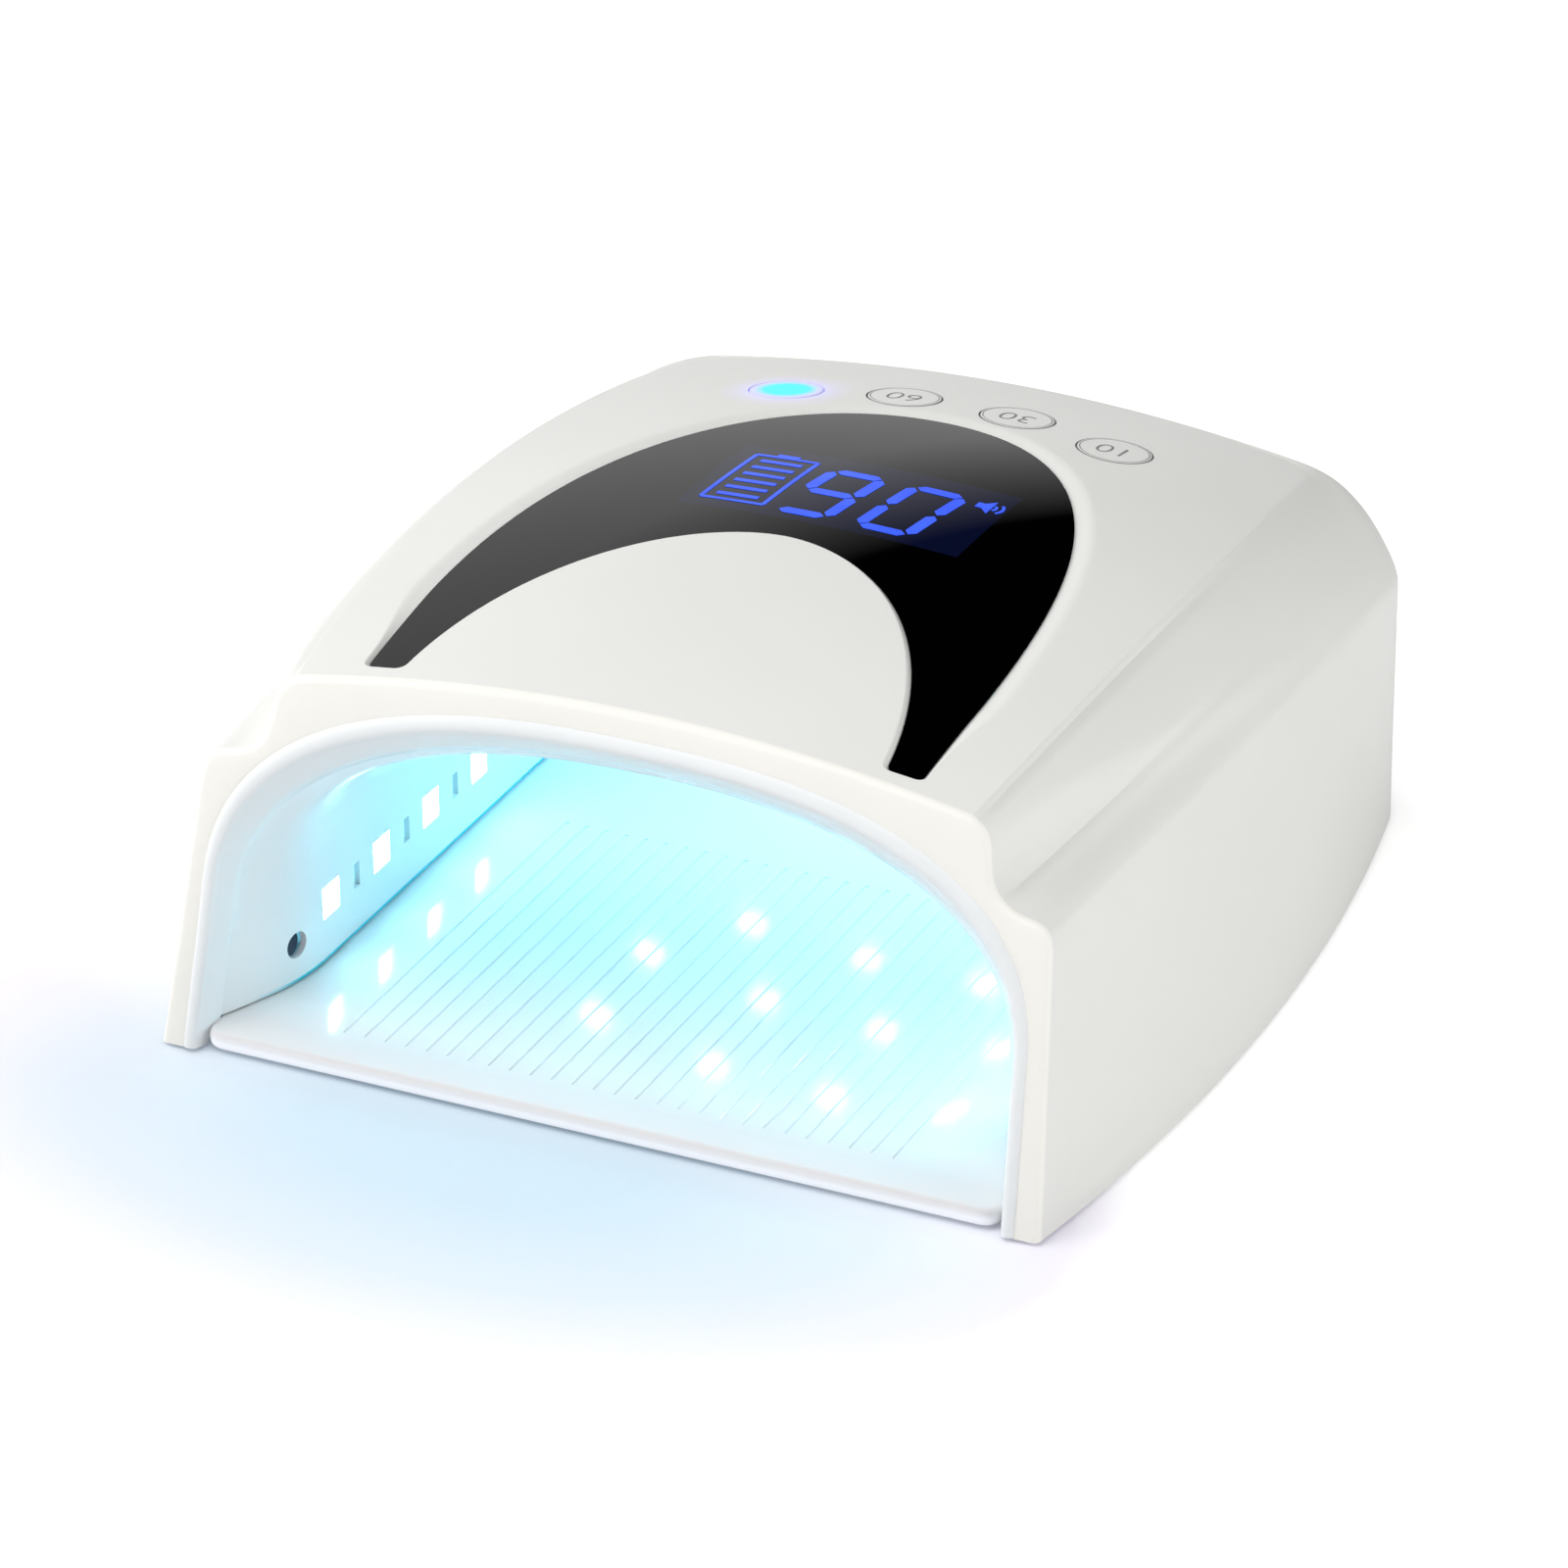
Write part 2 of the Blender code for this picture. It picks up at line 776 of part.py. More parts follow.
def lens_outline(grow):
    """Right half of the crescent window in plan: its outer and its inner line, tip to rear."""
    tip = station(lens_tip_from_front) - grow
    outer_y = station(lens_outer_centre_from_front)
    inner_y = station(lens_inner_centre_from_front)
    outer_w = lens_outer_half_width + grow
    inner_w = lens_inner_half_width - grow
    outer_reach = lens_outer_reach + grow
    inner_reach = lens_inner_reach - grow
    outer = [(outer_w - (outer_y - tip) ** 2 / (2 * base_side_radius), tip)]
    inner = []
    start = math.asin(min(1.0, ((tip - inner_y) / inner_reach) ** (lens_inner_power_share / 2)))
    for k in range(lens_steps + 1):
        angle = math.pi / 2 * k / lens_steps
        x = outer_w * math.cos(angle) ** (2 / lens_outer_power_share)
        outer.append((x, outer_y + outer_reach * math.sin(angle) ** (2 / lens_outer_power_share)))
        angle = start + (math.pi / 2 - start) * k / lens_steps
        x = inner_w * math.cos(angle) ** (2 / lens_inner_power_share)
        inner.append((x, inner_y + inner_reach * math.sin(angle) ** (2 / lens_inner_power_share)))
    outer[-1] = (0.0, outer[-1][1])
    inner[-1] = (0.0, inner[-1][1])
    return outer, inner


def crescent_block(name, grow, low, high, material):
    """A solid under or over the crown, crescent shaped in plan, between two heights off the crown."""
    outer, inner = lens_outline(grow)
    shares = [k / (lens_steps // 2) for k in range(lens_steps // 2 + 1)]
    right = list(zip(resampled(outer, line_shares(outer), shares), resampled(inner, line_shares(inner), shares)))
    left = [(Vector((-o.x, o.y)), Vector((-i.x, i.y))) for o, i in reversed(right[:-1])]
    rings = []
    for out_p, in_p in right + left:
        across = [out_p.lerp(in_p, k / lens_rows) for k in range(lens_rows + 1)]
        top = [(p.x, p.y, crown_z(p.x, p.y) + high) for p in across]
        bottom = [(p.x, p.y, crown_z(p.x, p.y) + low) for p in reversed(across)]
        rings.append(top + bottom)
    return loft(name, rings, material)


def top_shell():
    """The housing: a thin moulding with the crown, the shoulders and the rear wall."""
    depth = bezel_lip + seam
    verts, faces = shell_skin(depth)

    def settle(outer, inner):
        if outer.z < ground_gap + seam:
            return Vector((inner.x, inner.y, outer.z))
        return Vector((inner.x, face_y(inner.z) + depth, inner.z))

    shell = thickened("top_shell", verts, faces, wall, settle, shell_white())
    posts = []
    for x, y in boss_places():
        low = flange_top + seam
        posts.append(turned("boss", (x, y, low), (0, 0, 1), [(boss_radius, 0), (boss_radius, boss_top - low)], None))
    board = board_frame()
    post_foot = seam - switch_top_drop - switch_height
    drop = (crown_z(key_post_half_spacing, board.origin.y) - board.origin.z) * board.up.z
    for side in (-1, 1):
        start = board.point(side * key_post_half_spacing, 0, post_foot)
        reach = drop - post_foot - wall / 2
        profile = [(key_post_radius, 0), (key_post_radius, reach)]
        posts.append(turned("post", start, board.up, profile, None))
    fuse(shell, merged("shell_posts", posts))
    cut(shell, crescent_block("window_cutter", seam, -lens_recess, overrun, None))
    holes = []
    for frame in key_frames():
        rings = [frame.ring(key_radius + seam, -wall - overrun), frame.ring(key_radius + seam, overrun)]
        holes.append(loft("key_hole", rings, None))
    for x, y in boss_places():
        profile = [(screw_shank_radius + seam, -overrun), (screw_shank_radius + seam, boss_bore_length)]
        holes.append(turned("bore", (x, y, flange_top + seam), (0, 0, 1), profile, None, 12))
    y = rear_wall_y(jack_offset, rear_part_height)
    profile = [(jack_barrel_radius + seam, -wall - overrun), (jack_barrel_radius + seam, overrun)]
    holes.append(turned("jack_hole", (jack_offset, y, rear_part_height), (0, 1, 0), profile, None))
    low = (rocker_offset - rocker_body_half_width - seam, y - wall - overrun,
           rear_part_height - rocker_body_half_height - seam)
    high = (rocker_offset + rocker_body_half_width + seam, y + overrun,
            rear_part_height + rocker_body_half_height + seam)
    holes.append(box("rocker_hole", low, high, None))
    half = display_half_width + display_opening_margin
    front = rear_station(display_front_from_rear) - display_opening_margin
    rear = rear_station(display_rear_from_rear) + display_opening_margin
    low = (-half, front, crown_z(half, rear) - wall - overrun)
    high = (half, rear, body_height - seam)
    holes.append(box("display_hole", low, high, None))
    cut(shell, merged("shell_holes", holes))
    return shell


def arch_line(leg, shoulder, shoulder_height, height, power, foot):
    """Right half of an opening, from its foot up to its middle, as (x, z)."""
    points = [(leg, foot)]
    for k in range(arch_steps + 1):
        angle = math.pi / 2 * k / arch_steps
        x = shoulder * math.cos(angle) ** (2 / power)
        points.append((x, shoulder_height + (height - shoulder_height) * math.sin(angle) ** (2 / power)))
    points[-1] = (0.0, height)
    return points


def both_halves(points):
    """A right half followed by its mirror image."""
    return list(points) + [(-x, z) for x, z in reversed(points[:-1])]


def on_face(points, depth):
    return [Vector((x, face_y(z) + depth, z)) for x, z in points]


def front_profile(depth):
    """Right half of the housing's outline at the face, floor to crown, as (x, z)."""
    points = [(p.x, p.z) for p in shell_columns(depth)[0]]
    half = points[-1][0]
    for k in range(1, face_steps + 1):
        x = half * (1 - k / face_steps)
        points.append((x, crest_point(x, depth)[1]))
    return points


def front_bezel():
    """The raked front frame, let into the housing's edge."""
    outer = front_profile(0.0)
    lip = front_profile(bezel_lip)
    inset = offset_line(outer, wall + seam)
    inset[0] = (inset[0][0], ground_gap)
    inset[-1] = (0.0, inset[-1][1])
    opening = arch_line(bezel_leg_half_width, bezel_shoulder_half_width, bezel_shoulder_height,
                        bezel_opening_height, bezel_power_share, ground_gap)
    marks = line_shares(outer)
    opening_marks = line_shares(opening)
    shares = sorted(set(marks + opening_marks))
    outer, lip, inset = [resampled(line, marks, shares) for line in (outer, lip, inset)]
    inner = resampled(opening, opening_marks, shares)
    lines = [(outer, 0.0), (lip, bezel_lip), (inset, bezel_lip), (inset, bezel_depth),
             (inner, bezel_depth), (inner, 0.0)]
    placed = [on_face(both_halves(points), depth) for points, depth in lines]
    rings = [[line[k] for line in placed] for k in range(len(placed[0]))]
    return loft("front_bezel", rings, bezel_cream())


# Reflector liner
def cavity_height(y):
    """Inner height of the reflector along the cavity."""
    start = station(cavity_start_from_front)
    share = (y - start) / (rear_station(cavity_rear_from_rear) - start)
    return cavity_start_height + share * (cavity_rear_height - cavity_start_height)


def roof_z(x, y, stand):
    """Height over the reflector's inner roof, stand measured square to its size."""
    half = cavity_half_width + stand
    rise = cavity_height(y) + stand - cavity_shoulder_height
    ratio = min(1.0, abs(x) / half)
    return cavity_shoulder_height + rise * (1 - ratio ** cavity_power_share) ** (1 / cavity_power_share)


def cavity_ring(y, stand, foot):
    half = cavity_half_width + stand
    line = arch_line(half, half, cavity_shoulder_height, cavity_height(y) + stand, cavity_power_share, foot)
    return [Vector((x, y, z)) for x, z in both_halves(line)]


def liner_block(name, stand, material):
    """The reflector's outer block, or the cavity in it when stand is zero."""
    foot = liner_foot + flange_thickness / 2 if stand else -overrun
    if stand:
        half = (bezel_leg_half_width - seam, bezel_shoulder_half_width - seam)
        mouth = (*half, bezel_shoulder_height, bezel_opening_height - seam, bezel_power_share)
        rings = [on_face(both_halves(arch_line(*mouth, ground_gap)), mouth_setback),
                 on_face(both_halves(arch_line(*mouth, ground_gap)), mouth_lip_depth - seam),
                 on_face(both_halves(arch_line(*mouth, foot)), mouth_lip_depth)]
    else:
        mouth = (mouth_leg_half_width, mouth_half_width, cavity_shoulder_height, mouth_height, cavity_power_share)
        line = both_halves(arch_line(*mouth, foot))
        rings = [on_face(line, -overrun), on_face(line, mouth_lip_depth)]
    rings.append(cavity_ring(station(cavity_start_from_front), stand, foot))
    rings.append(cavity_ring(rear_station(cavity_rear_from_rear) + stand, stand, foot))
    return loft(name, rings, material)


def window_places():
    """Distances from the front of the side light windows, and of the slots between them."""
    windows = [window_first_from_front + k * window_pitch for k in range(side_window_count)]
    slots = [(a + b) / 2 for a, b in zip(windows, windows[1:])]
    return windows, slots


def bead_places():
    """Plan positions of the ceiling lights, strip by strip."""
    rows = []
    for count, distance in zip(bead_row_counts, strip_places_from_rear):
        middle = (count - 1) / 2
        rows.append([((k - middle) * bead_pitch, rear_station(distance)) for k in range(count)])
    return rows


def roof_patch(name, x, y, half, low, high):
    """A small block that follows the reflector's roof, between two heights over its outer face."""
    rings = []
    for height in (low, high):
        corners = ((x - half, y - half), (x + half, y - half), (x + half, y + half), (x - half, y + half))
        rings.append([(a, b, roof_z(a, b, liner_wall) + height) for a, b in corners])
    return loft(name, rings, None)


def plan_plate(name, line, low, high, material):
    """A flat plate with a plan outline."""
    return loft(name, [[(x, y, low) for x, y in line], [(x, y, high) for x, y in line]], material)


def reflector_liner():
    """The white reflector: mouth lip, arched cavity and the flange that closes the housing below."""
    liner = liner_block("reflector_liner", liner_wall, liner_white())
    half = base_line.half(station(flange_start_from_front), wall + flange_wall_gap)
    fuse(liner, plan_plate("flange_plate", both_halves(half), liner_foot, flange_top, None))
    cut(liner, liner_block("cavity_cutter", 0.0, None))
    tools = []
    windows, slots = window_places()
    for side in (-1, 1):
        low_x = cavity_half_width - overrun
        high_x = cavity_half_width + liner_wall + overrun
        sizes = [(w, window_side, window_side) for w in windows] + [(s, slot_width, slot_height) for s in slots]
        for distance, width, height in sizes:
            y = station(distance)
            xs = sorted((side * low_x, side * high_x))
            low = (xs[0], y - width / 2, window_centre_height - height / 2)
            high = (xs[1], y + width / 2, window_centre_height + height / 2)
            tools.append(box("window", low, high, None))
        start = (side * low_x, station(sensor_from_front), sensor_height)
        profile = [(sensor_radius + seam, 0), (sensor_radius + seam, high_x - low_x)]
        tools.append(turned("eye", start, (side, 0, 0), profile, None))
    for row in bead_places():
        for x, y in row:
            tools.append(roof_patch("light", x, y, window_side / 2, -liner_wall - overrun, overrun))
    for x, y in boss_places():
        head = screw_head_radius + seam
        shank = screw_shank_radius + seam
        profile = [(head, -overrun), (head, screw_sink), (shank, screw_sink), (shank, flange_thickness + overrun)]
        tools.append(turned("screw_hole", (x, y, liner_foot), (0, 0, 1), profile, None, 16))
    cut(liner, merged("liner_holes", tools))
    return liner


def side_board(name, side):
    """A light board against the reflector's side, with its lights reaching into the windows."""
    windows = window_places()[0]
    inner = cavity_half_width + liner_wall + seam
    low_y = station(windows[0]) - window_side / 2 - board_margin
    high_y = station(windows[-1]) + window_side / 2 + board_margin
    xs = sorted((side * inner, side * (inner + board_thickness)))
    low_z = window_centre_height - board_half_height
    high_z = window_centre_height + board_half_height
    board = box(name, (xs[0], low_y, low_z), (xs[1], high_y, high_z), lamp_board())
    beads = []
    half = window_side / 2 - bead_gap
    xs = sorted((side * (cavity_half_width + bead_recess), side * (inner + board_thickness / 2)))
    for distance in windows:
        y = station(distance)
        low = (xs[0], y - half, window_centre_height - half)
        beads.append(box("bead", low, (xs[1], y + half, window_centre_height + half), None))
    fuse(board, merged(name + "_lights", beads))
    return board


def ceiling_strip(name, places):
    """A curved light strip on the reflector's roof, with its lights reaching into the windows."""
    y = places[0][1]
    rings = []
    for k in range(strip_steps + 1):
        x = strip_half_length * (2 * k / strip_steps - 1)
        edge = [(x, y - strip_width / 2), (x, y + strip_width / 2)]
        low = [(a, b, roof_z(a, b, liner_wall) + seam) for a, b in edge]
        rings.append(low + [(a, b, c + board_thickness) for a, b, c in reversed(low)])
    strip = loft(name, rings, lamp_board())
    half = window_side / 2 - bead_gap
    beads = [roof_patch("bead", x, y, half, bead_recess - liner_wall, seam + board_thickness / 2) for x, y in places]
    fuse(strip, merged(name + "_lights", beads))
    return strip


def eye_sensor(name, side):
    """A round infrared part looking into the cavity."""
    start = (side * (cavity_half_width + bead_recess), station(sensor_from_front), sensor_height)
    profile = [(sensor_radius * (1 - edge_share), 0), (sensor_radius, bead_recess), (sensor_radius, sensor_length)]
    return turned(name, start, (side, 0, 0), profile, dark_plastic(), 16)


# Base tray
def tray_line(inset):
    """Closed plan outline of the tray."""
    start = front_y + tray_setback
    side = base_line.half(start + tray_corner_radius, tray_inset)
    corner = []
    cx = side[0][0] - tray_corner_radius
    for k in range(4):
        angle = math.pi / 2 * (k / 4 - 1)
        corner.append((cx + tray_corner_radius * math.cos(angle),
                       start + tray_corner_radius + tray_corner_radius * math.sin(angle)))
    line = both_halves(corner + side)
    return offset_line(line, inset, closed=True)


def foot_places():
    """Where the rubber feet sit under the tray."""
    rows = (station(foot_front_from_front), rear_station(foot_rear_from_rear))
    return [(side * (base_line.side_x(y) - foot_side_inset), y) for y in rows for side in (-1, 1)]


def magnet_places():
    """Where the tray and the flange hold their magnets, beside the reflector's walls."""
    x = cavity_half_width + liner_wall + magnet_wall_gap + magnet_radius
    return [(side * x, share_station(share)) for share in magnet_place_shares for side in (-1, 1)]


def base_tray():
    """The flat tray that the hand rests on, ribbed with fine grooves, with rounded edges."""
    step = tray_edge_radius * edge_share
    heights = (ground_gap, ground_gap + step, ground_gap + tray_edge_radius,
               tray_top - tray_edge_radius, tray_top - step, tray_top)
    insets = (tray_edge_radius, step, 0.0, 0.0, step, tray_edge_radius)
    rings = [[(x, y, z) for x, y in tray_line(inset)] for z, inset in zip(heights, insets)]
    tray = loft("base_tray", rings, shell_white())
    tools = []
    low_y = station(groove_start_from_front)
    for k in range(groove_count):
        x = (k - (groove_count - 1) / 2) * groove_pitch
        low = (x - groove_width / 2, low_y, tray_top - groove_depth)
        high = (x + groove_width / 2, low_y + groove_length, tray_top + overrun)
        tools.append(box("groove", low, high, None))
    for x, y in foot_places():
        profile = [(foot_radius + seam, -overrun), (foot_radius + seam, foot_thickness + seam)]
        tools.append(turned("pocket", (x, y, 0), (0, 0, 1), profile, None))
    for x, y in magnet_places():
        low = tray_top - magnet_thickness - 2 * seam
        profile = [(magnet_radius + seam, 0), (magnet_radius + seam, tray_top - low + overrun)]
        tools.append(turned("magnet_pocket", (x, y, low), (0, 0, 1), profile, None))
    cut(tray, merged("tray_cuts", tools))
    return tray


def small_discs():
    """Feet under the tray, and the magnets of the tray and of the reflector's flange."""
    names = ("front_left", "front_right", "rear_left", "rear_right")
    for name, (x, y) in zip(names, foot_places()):
        edge = foot_thickness * edge_share
        profile = [(foot_radius - edge, 0), (foot_radius, edge), (foot_radius, foot_thickness)]
        turned("foot_" + name, (x, y, 0), (0, 0, 1), profile, soft_rubber())
    for name, (x, y) in zip(names, magnet_places()):
        profile = [(magnet_radius, 0), (magnet_radius, magnet_thickness)]
        turned("tray_magnet_" + name, (x, y, tray_top - seam - magnet_thickness), (0, 0, 1), profile, steel())
        turned("housing_magnet_" + name, (x, y, flange_top + seam), (0, 0, 1), profile, steel())


def housing_screws():
    names = ("front", "middle", "rear")
    labels = [f"{name}_{side}" for name in names for side in ("right", "left")]
    for name, (x, y) in zip(labels, boss_places()):
        low = liner_foot + screw_sink - seam - screw_head_height
        top = screw_head_height + screw_shank_length
        profile = [(screw_head_radius, 0), (screw_head_radius, screw_head_height),
                   (screw_shank_radius, screw_head_height), (screw_shank_radius, top)]
        turned("screw_" + name, (x, y, low), (0, 0, 1), profile, steel(), 12)


# Keys
def with_origin(made, origin):
    """Moves an object's origin to a point of its joint axis, its shape staying in place."""
    origin = Vector(origin)
    for vert in made.data.vertices:
        vert.co -= origin
    made.location = origin
    return made


def key_set():
    """Four round keys in the crown, held by a collar below it, each over its own switch."""
    names = ("key_99", "key_60", "key_30", "key_10")
    for name, frame in zip(names, key_frames()):
        top = switch_top(frame)
        under = -wall - seam
        collar = key_radius + key_collar
        rings = [frame.ring(stem_radius, top - stem_reach),
                 frame.on_crown(stem_radius, under - key_collar_thickness),
                 frame.on_crown(collar, under - key_collar_thickness), frame.on_crown(collar, under),
                 frame.on_crown(key_radius, under), frame.on_crown(key_radius, key_stand - key_edge),
                 frame.on_crown(key_radius - key_edge, key_stand)]
        with_origin(loft(name, rings, shell_white()), frame.origin)
        half = switch_side / 2
        body = loft("switch_" + name[4:], [frame.rectangle(half, half, top - switch_height),
                                           frame.rectangle(half, half, top)], dark_plastic())
        bore = [frame.ring(stem_radius + running_gap, top - switch_height + switch_floor, 16),
                frame.ring(stem_radius + running_gap, top + overrun, 16)]
        cut(body, loft("bore_" + name[4:], bore, None))


def key_board():
    frame = board_frame()
    top = -switch_top_drop - switch_height - seam
    rings = [frame.rectangle(key_board_half_width, key_board_half_depth, height)
             for height in (top - board_thickness, top)]
    return loft("control_board", rings, board_green())


# Display
def display_board():
    """The display module: a board below the crown with the lit panel standing on it."""
    front = rear_station(display_front_from_rear)
    rear = rear_station(display_rear_from_rear)
    half = display_half_width
    wide = half + display_board_margin
    low_y = front - display_board_margin
    high_y = rear + display_board_margin
    top = crown_z(wide, high_y) - wall - display_board_drop
    board = box("display_board", (-wide, low_y, top - board_thickness), (wide, high_y, top), board_green())
    panel_top = crown_z(half, rear) - lens_recess - seam
    panel = box("display_panel", (-half, front, top - board_thickness / 2), (half, rear, panel_top), None)
    fuse(board, panel)
    return board


# Battery
def battery():
    """Four round cells in a cradle that stands on the reflector's roof."""
    middle = rear_station(strip_places_from_rear[1])
    half_x = cell_length + 1.5 * cell_gap
    half_y = 2 * cell_radius + 1.5 * cell_gap
    out_x = half_x + cradle_rim_wall
    out_y = half_y + cradle_rim_wall
    floor = cradle_height + cradle_base
    cradle = box("battery_cradle", (-out_x, middle - out_y, cradle_height),
                 (out_x, middle + out_y, floor + cradle_rim), dark_plastic())
    cut(cradle, box("cradle_pocket", (-half_x, middle - half_y, floor),
                    (half_x, middle + half_y, floor + cradle_rim + overrun), None))
    legs = []
    for side in (-1, 1):
        for offset in (-cradle_leg_offset, cradle_leg_offset):
            x = side * cradle_leg_half_spacing
            y = middle + offset
            near = cradle_leg_half_spacing - cradle_leg_radius
            low = roof_z(near, y - cradle_leg_radius, liner_wall) + seam
            profile = [(cradle_leg_radius, 0), (cradle_leg_radius, floor - cradle_base / 2 - low)]
            legs.append(turned("leg", (x, y, low), (0, 0, 1), profile, None, 12))
    fuse(cradle, merged("cradle_legs", legs))
    place = {-1: "left", 1: "right"}
    for side in (-1, 1):
        for row, name in ((-1, "front"), (1, "rear")):
            y = middle + row * (cell_radius + cell_gap / 2)
            z = floor + seam + cell_radius
            profile = [(cell_radius, 0), (cell_radius, cell_length)]
            start = (side * cell_gap / 2, y, z)
            turned(f"battery_cell_{name}_{place[side]}", start, (side, 0, 0), profile, cell_wrap(), cell_steps)


# Rear socket and main switch
def charging_socket():
    """The round socket behind the rear wall, its barrel in the wall's hole and a pin in its bore."""
    start = (jack_offset, rear_wall_y(jack_offset, rear_part_height) - wall - seam, rear_part_height)
    floor = wall - jack_bore_depth
    profile = [(jack_body_radius, -jack_body_depth), (jack_body_radius, 0), (jack_barrel_radius, 0),
               (jack_barrel_radius, wall), (jack_bore_radius, wall), (jack_bore_radius, floor),
               (jack_pin_radius, floor), (jack_pin_radius, 0)]
    return turned("charging_socket", start, (0, 1, 0), profile, dark_plastic())


def switch_face_y():
    return rear_wall_y(0.0, rear_part_height) + seam + rocker_flange_thickness


def main_switch():
    """The rear rocker switch: a snap-in body with a flange, and the rocker on its cross pin."""
    face = switch_face_y()
    x = rocker_offset
    z = rear_part_height
    flange_low = (x - rocker_flange_half_width, face - rocker_flange_thickness, z - rocker_flange_half_height)
    flange_high = (x + rocker_flange_half_width, face, z + rocker_flange_half_height)
    body = box("rocker_body", flange_low, flange_high, dark_plastic())
    low = (x - rocker_body_half_width, face - rocker_body_depth, z - rocker_body_half_height)
    high = (x + rocker_body_half_width, face - rocker_flange_thickness / 2, z + rocker_body_half_height)
    fuse(body, box("rocker_body_core", low, high, None))
    low = (x - rocker_well_half_width, face - rocker_well_depth, z - rocker_well_half_height)
    high = (x + rocker_well_half_width, face + overrun, z + rocker_well_half_height)
    cut(body, box("rocker_well", low, high, None))
    pivot = Vector((x, face - rocker_pivot_depth, z))
    half = rocker_body_half_height - 2 * seam
    profile = [(rocker_pin_radius + seam, -half), (rocker_pin_radius + seam, half)]
    cut(body, turned("rocker_pin_hole", pivot, (0, 0, 1), profile, None, 12))
    outline = [(-rocker_half_width, rocker_end_stand), (0.0, rocker_middle_stand),
               (rocker_half_width, rocker_end_stand), (rocker_half_width, -rocker_pivot_depth),
               (rocker_back_half_width, -rocker_pivot_depth - rocker_back_depth),
               (-rocker_back_half_width, -rocker_pivot_depth - rocker_back_depth),
               (-rocker_half_width, -rocker_pivot_depth)]
    tall = rocker_well_half_height - seam
    rings = []
    for height in (-tall, tall):
        ring = []
        for a, b in outline:
            b += rocker_pivot_depth
            turned_a = a * math.cos(rocker_angle) - b * math.sin(rocker_angle)
            turned_b = a * math.sin(rocker_angle) + b * math.cos(rocker_angle)
            ring.append(pivot + Vector((turned_a, turned_b, height)))
        rings.append(ring)
    rocker = loft("rocker", rings, dark_plastic())
    half -= seam
    profile = [(rocker_pin_radius, -half), (rocker_pin_radius, half)]
    fuse(rocker, with_origin(turned("rocker_pin", pivot, (0, 0, 1), profile, None, 12), pivot))
    with_origin(rocker, pivot)


def display_lens():
    low = seam - lens_recess
    return crescent_block("display_lens", 0.0, low, -lens_sink, window_black())


def build():
    top_shell()
    front_bezel()
    reflector_liner()
    display_lens()
    display_board()
    side_board("light_board_left", -1)
    side_board("light_board_right", 1)
    for name, places in zip(("front", "middle", "rear"), bead_places()):
        ceiling_strip("light_strip_" + name, places)
    eye_sensor("hand_sensor_left", -1)
    eye_sensor("hand_sensor_right", 1)
    key_set()
    key_board()
    battery()
    charging_socket()
    main_switch()
    housing_screws()
    base_tray()
    small_discs()


build()
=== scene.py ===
"""Looks of the cordless nail lamp: smooth mouldings, lit lamps, display and studio."""
import math

import bpy
from mathutils import Matrix, Vector


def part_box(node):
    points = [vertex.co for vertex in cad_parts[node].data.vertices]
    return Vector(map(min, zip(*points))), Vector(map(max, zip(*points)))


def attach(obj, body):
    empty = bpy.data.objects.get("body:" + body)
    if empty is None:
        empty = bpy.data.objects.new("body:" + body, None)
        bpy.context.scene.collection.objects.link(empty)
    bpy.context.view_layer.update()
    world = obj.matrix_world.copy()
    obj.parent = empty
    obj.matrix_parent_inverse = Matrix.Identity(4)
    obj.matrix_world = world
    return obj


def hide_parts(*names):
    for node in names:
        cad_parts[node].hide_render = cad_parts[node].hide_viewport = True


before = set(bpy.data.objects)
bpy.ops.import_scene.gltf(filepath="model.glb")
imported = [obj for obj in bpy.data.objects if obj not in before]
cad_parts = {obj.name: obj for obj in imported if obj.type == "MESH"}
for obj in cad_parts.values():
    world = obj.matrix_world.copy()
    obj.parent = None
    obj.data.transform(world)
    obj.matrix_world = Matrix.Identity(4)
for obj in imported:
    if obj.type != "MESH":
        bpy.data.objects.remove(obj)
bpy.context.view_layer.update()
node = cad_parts


# Camera: the photograph's viewpoint, low and to the right of the hand opening, with a long lens.
# Its place and turn come from the lamp's straight edges in the photograph.
azimuth, elevation, roll = math.radians(25.083), math.radians(27.279), math.radians(-0.309)
view = Vector((-math.sin(azimuth) * math.cos(elevation), math.cos(azimuth) * math.cos(elevation), -math.sin(elevation)))
level = Vector((math.cos(azimuth), math.sin(azimuth), 0))
upright = level.cross(view)
right = level * math.cos(roll) + upright * math.sin(roll)
top = upright * math.cos(roll) - level * math.sin(roll)
camera = bpy.data.objects.new("camera", bpy.data.cameras.new("camera"))
camera.data.sensor_width = 36
camera.data.lens = 165.68
camera.data.clip_end = 50
turn = Matrix((right, top, -view)).transposed().to_4x4()
camera.matrix_world = Matrix.Translation((0.59797, -1.29590, 0.76670)) @ turn
bpy.context.scene.collection.objects.link(camera)
bpy.context.scene.camera = camera


# Housing: one thin injection moulding in warm white ABS, with a domed crown, a fold along each side
# and straight walls. It drops over the reflector and is held by six screws from below.
front, rear = -0.117069, 0.113231
crown_top, crown_peak, crown_long, crown_cross = 0.0990, -0.009358, 0.463, 0.461
ridge_z, floor_z, face_rake = 0.0605, 0.0008, 0.25
shell_depth = 0.00166


def crown(x, y):
    return crown_top - (y - crown_peak) ** 2 / (2 * crown_long) - x ** 2 / (2 * crown_cross)


def ease(value):
    value = min(max(value, 0.0), 1.0)
    return value * value * (3 - 2 * value)


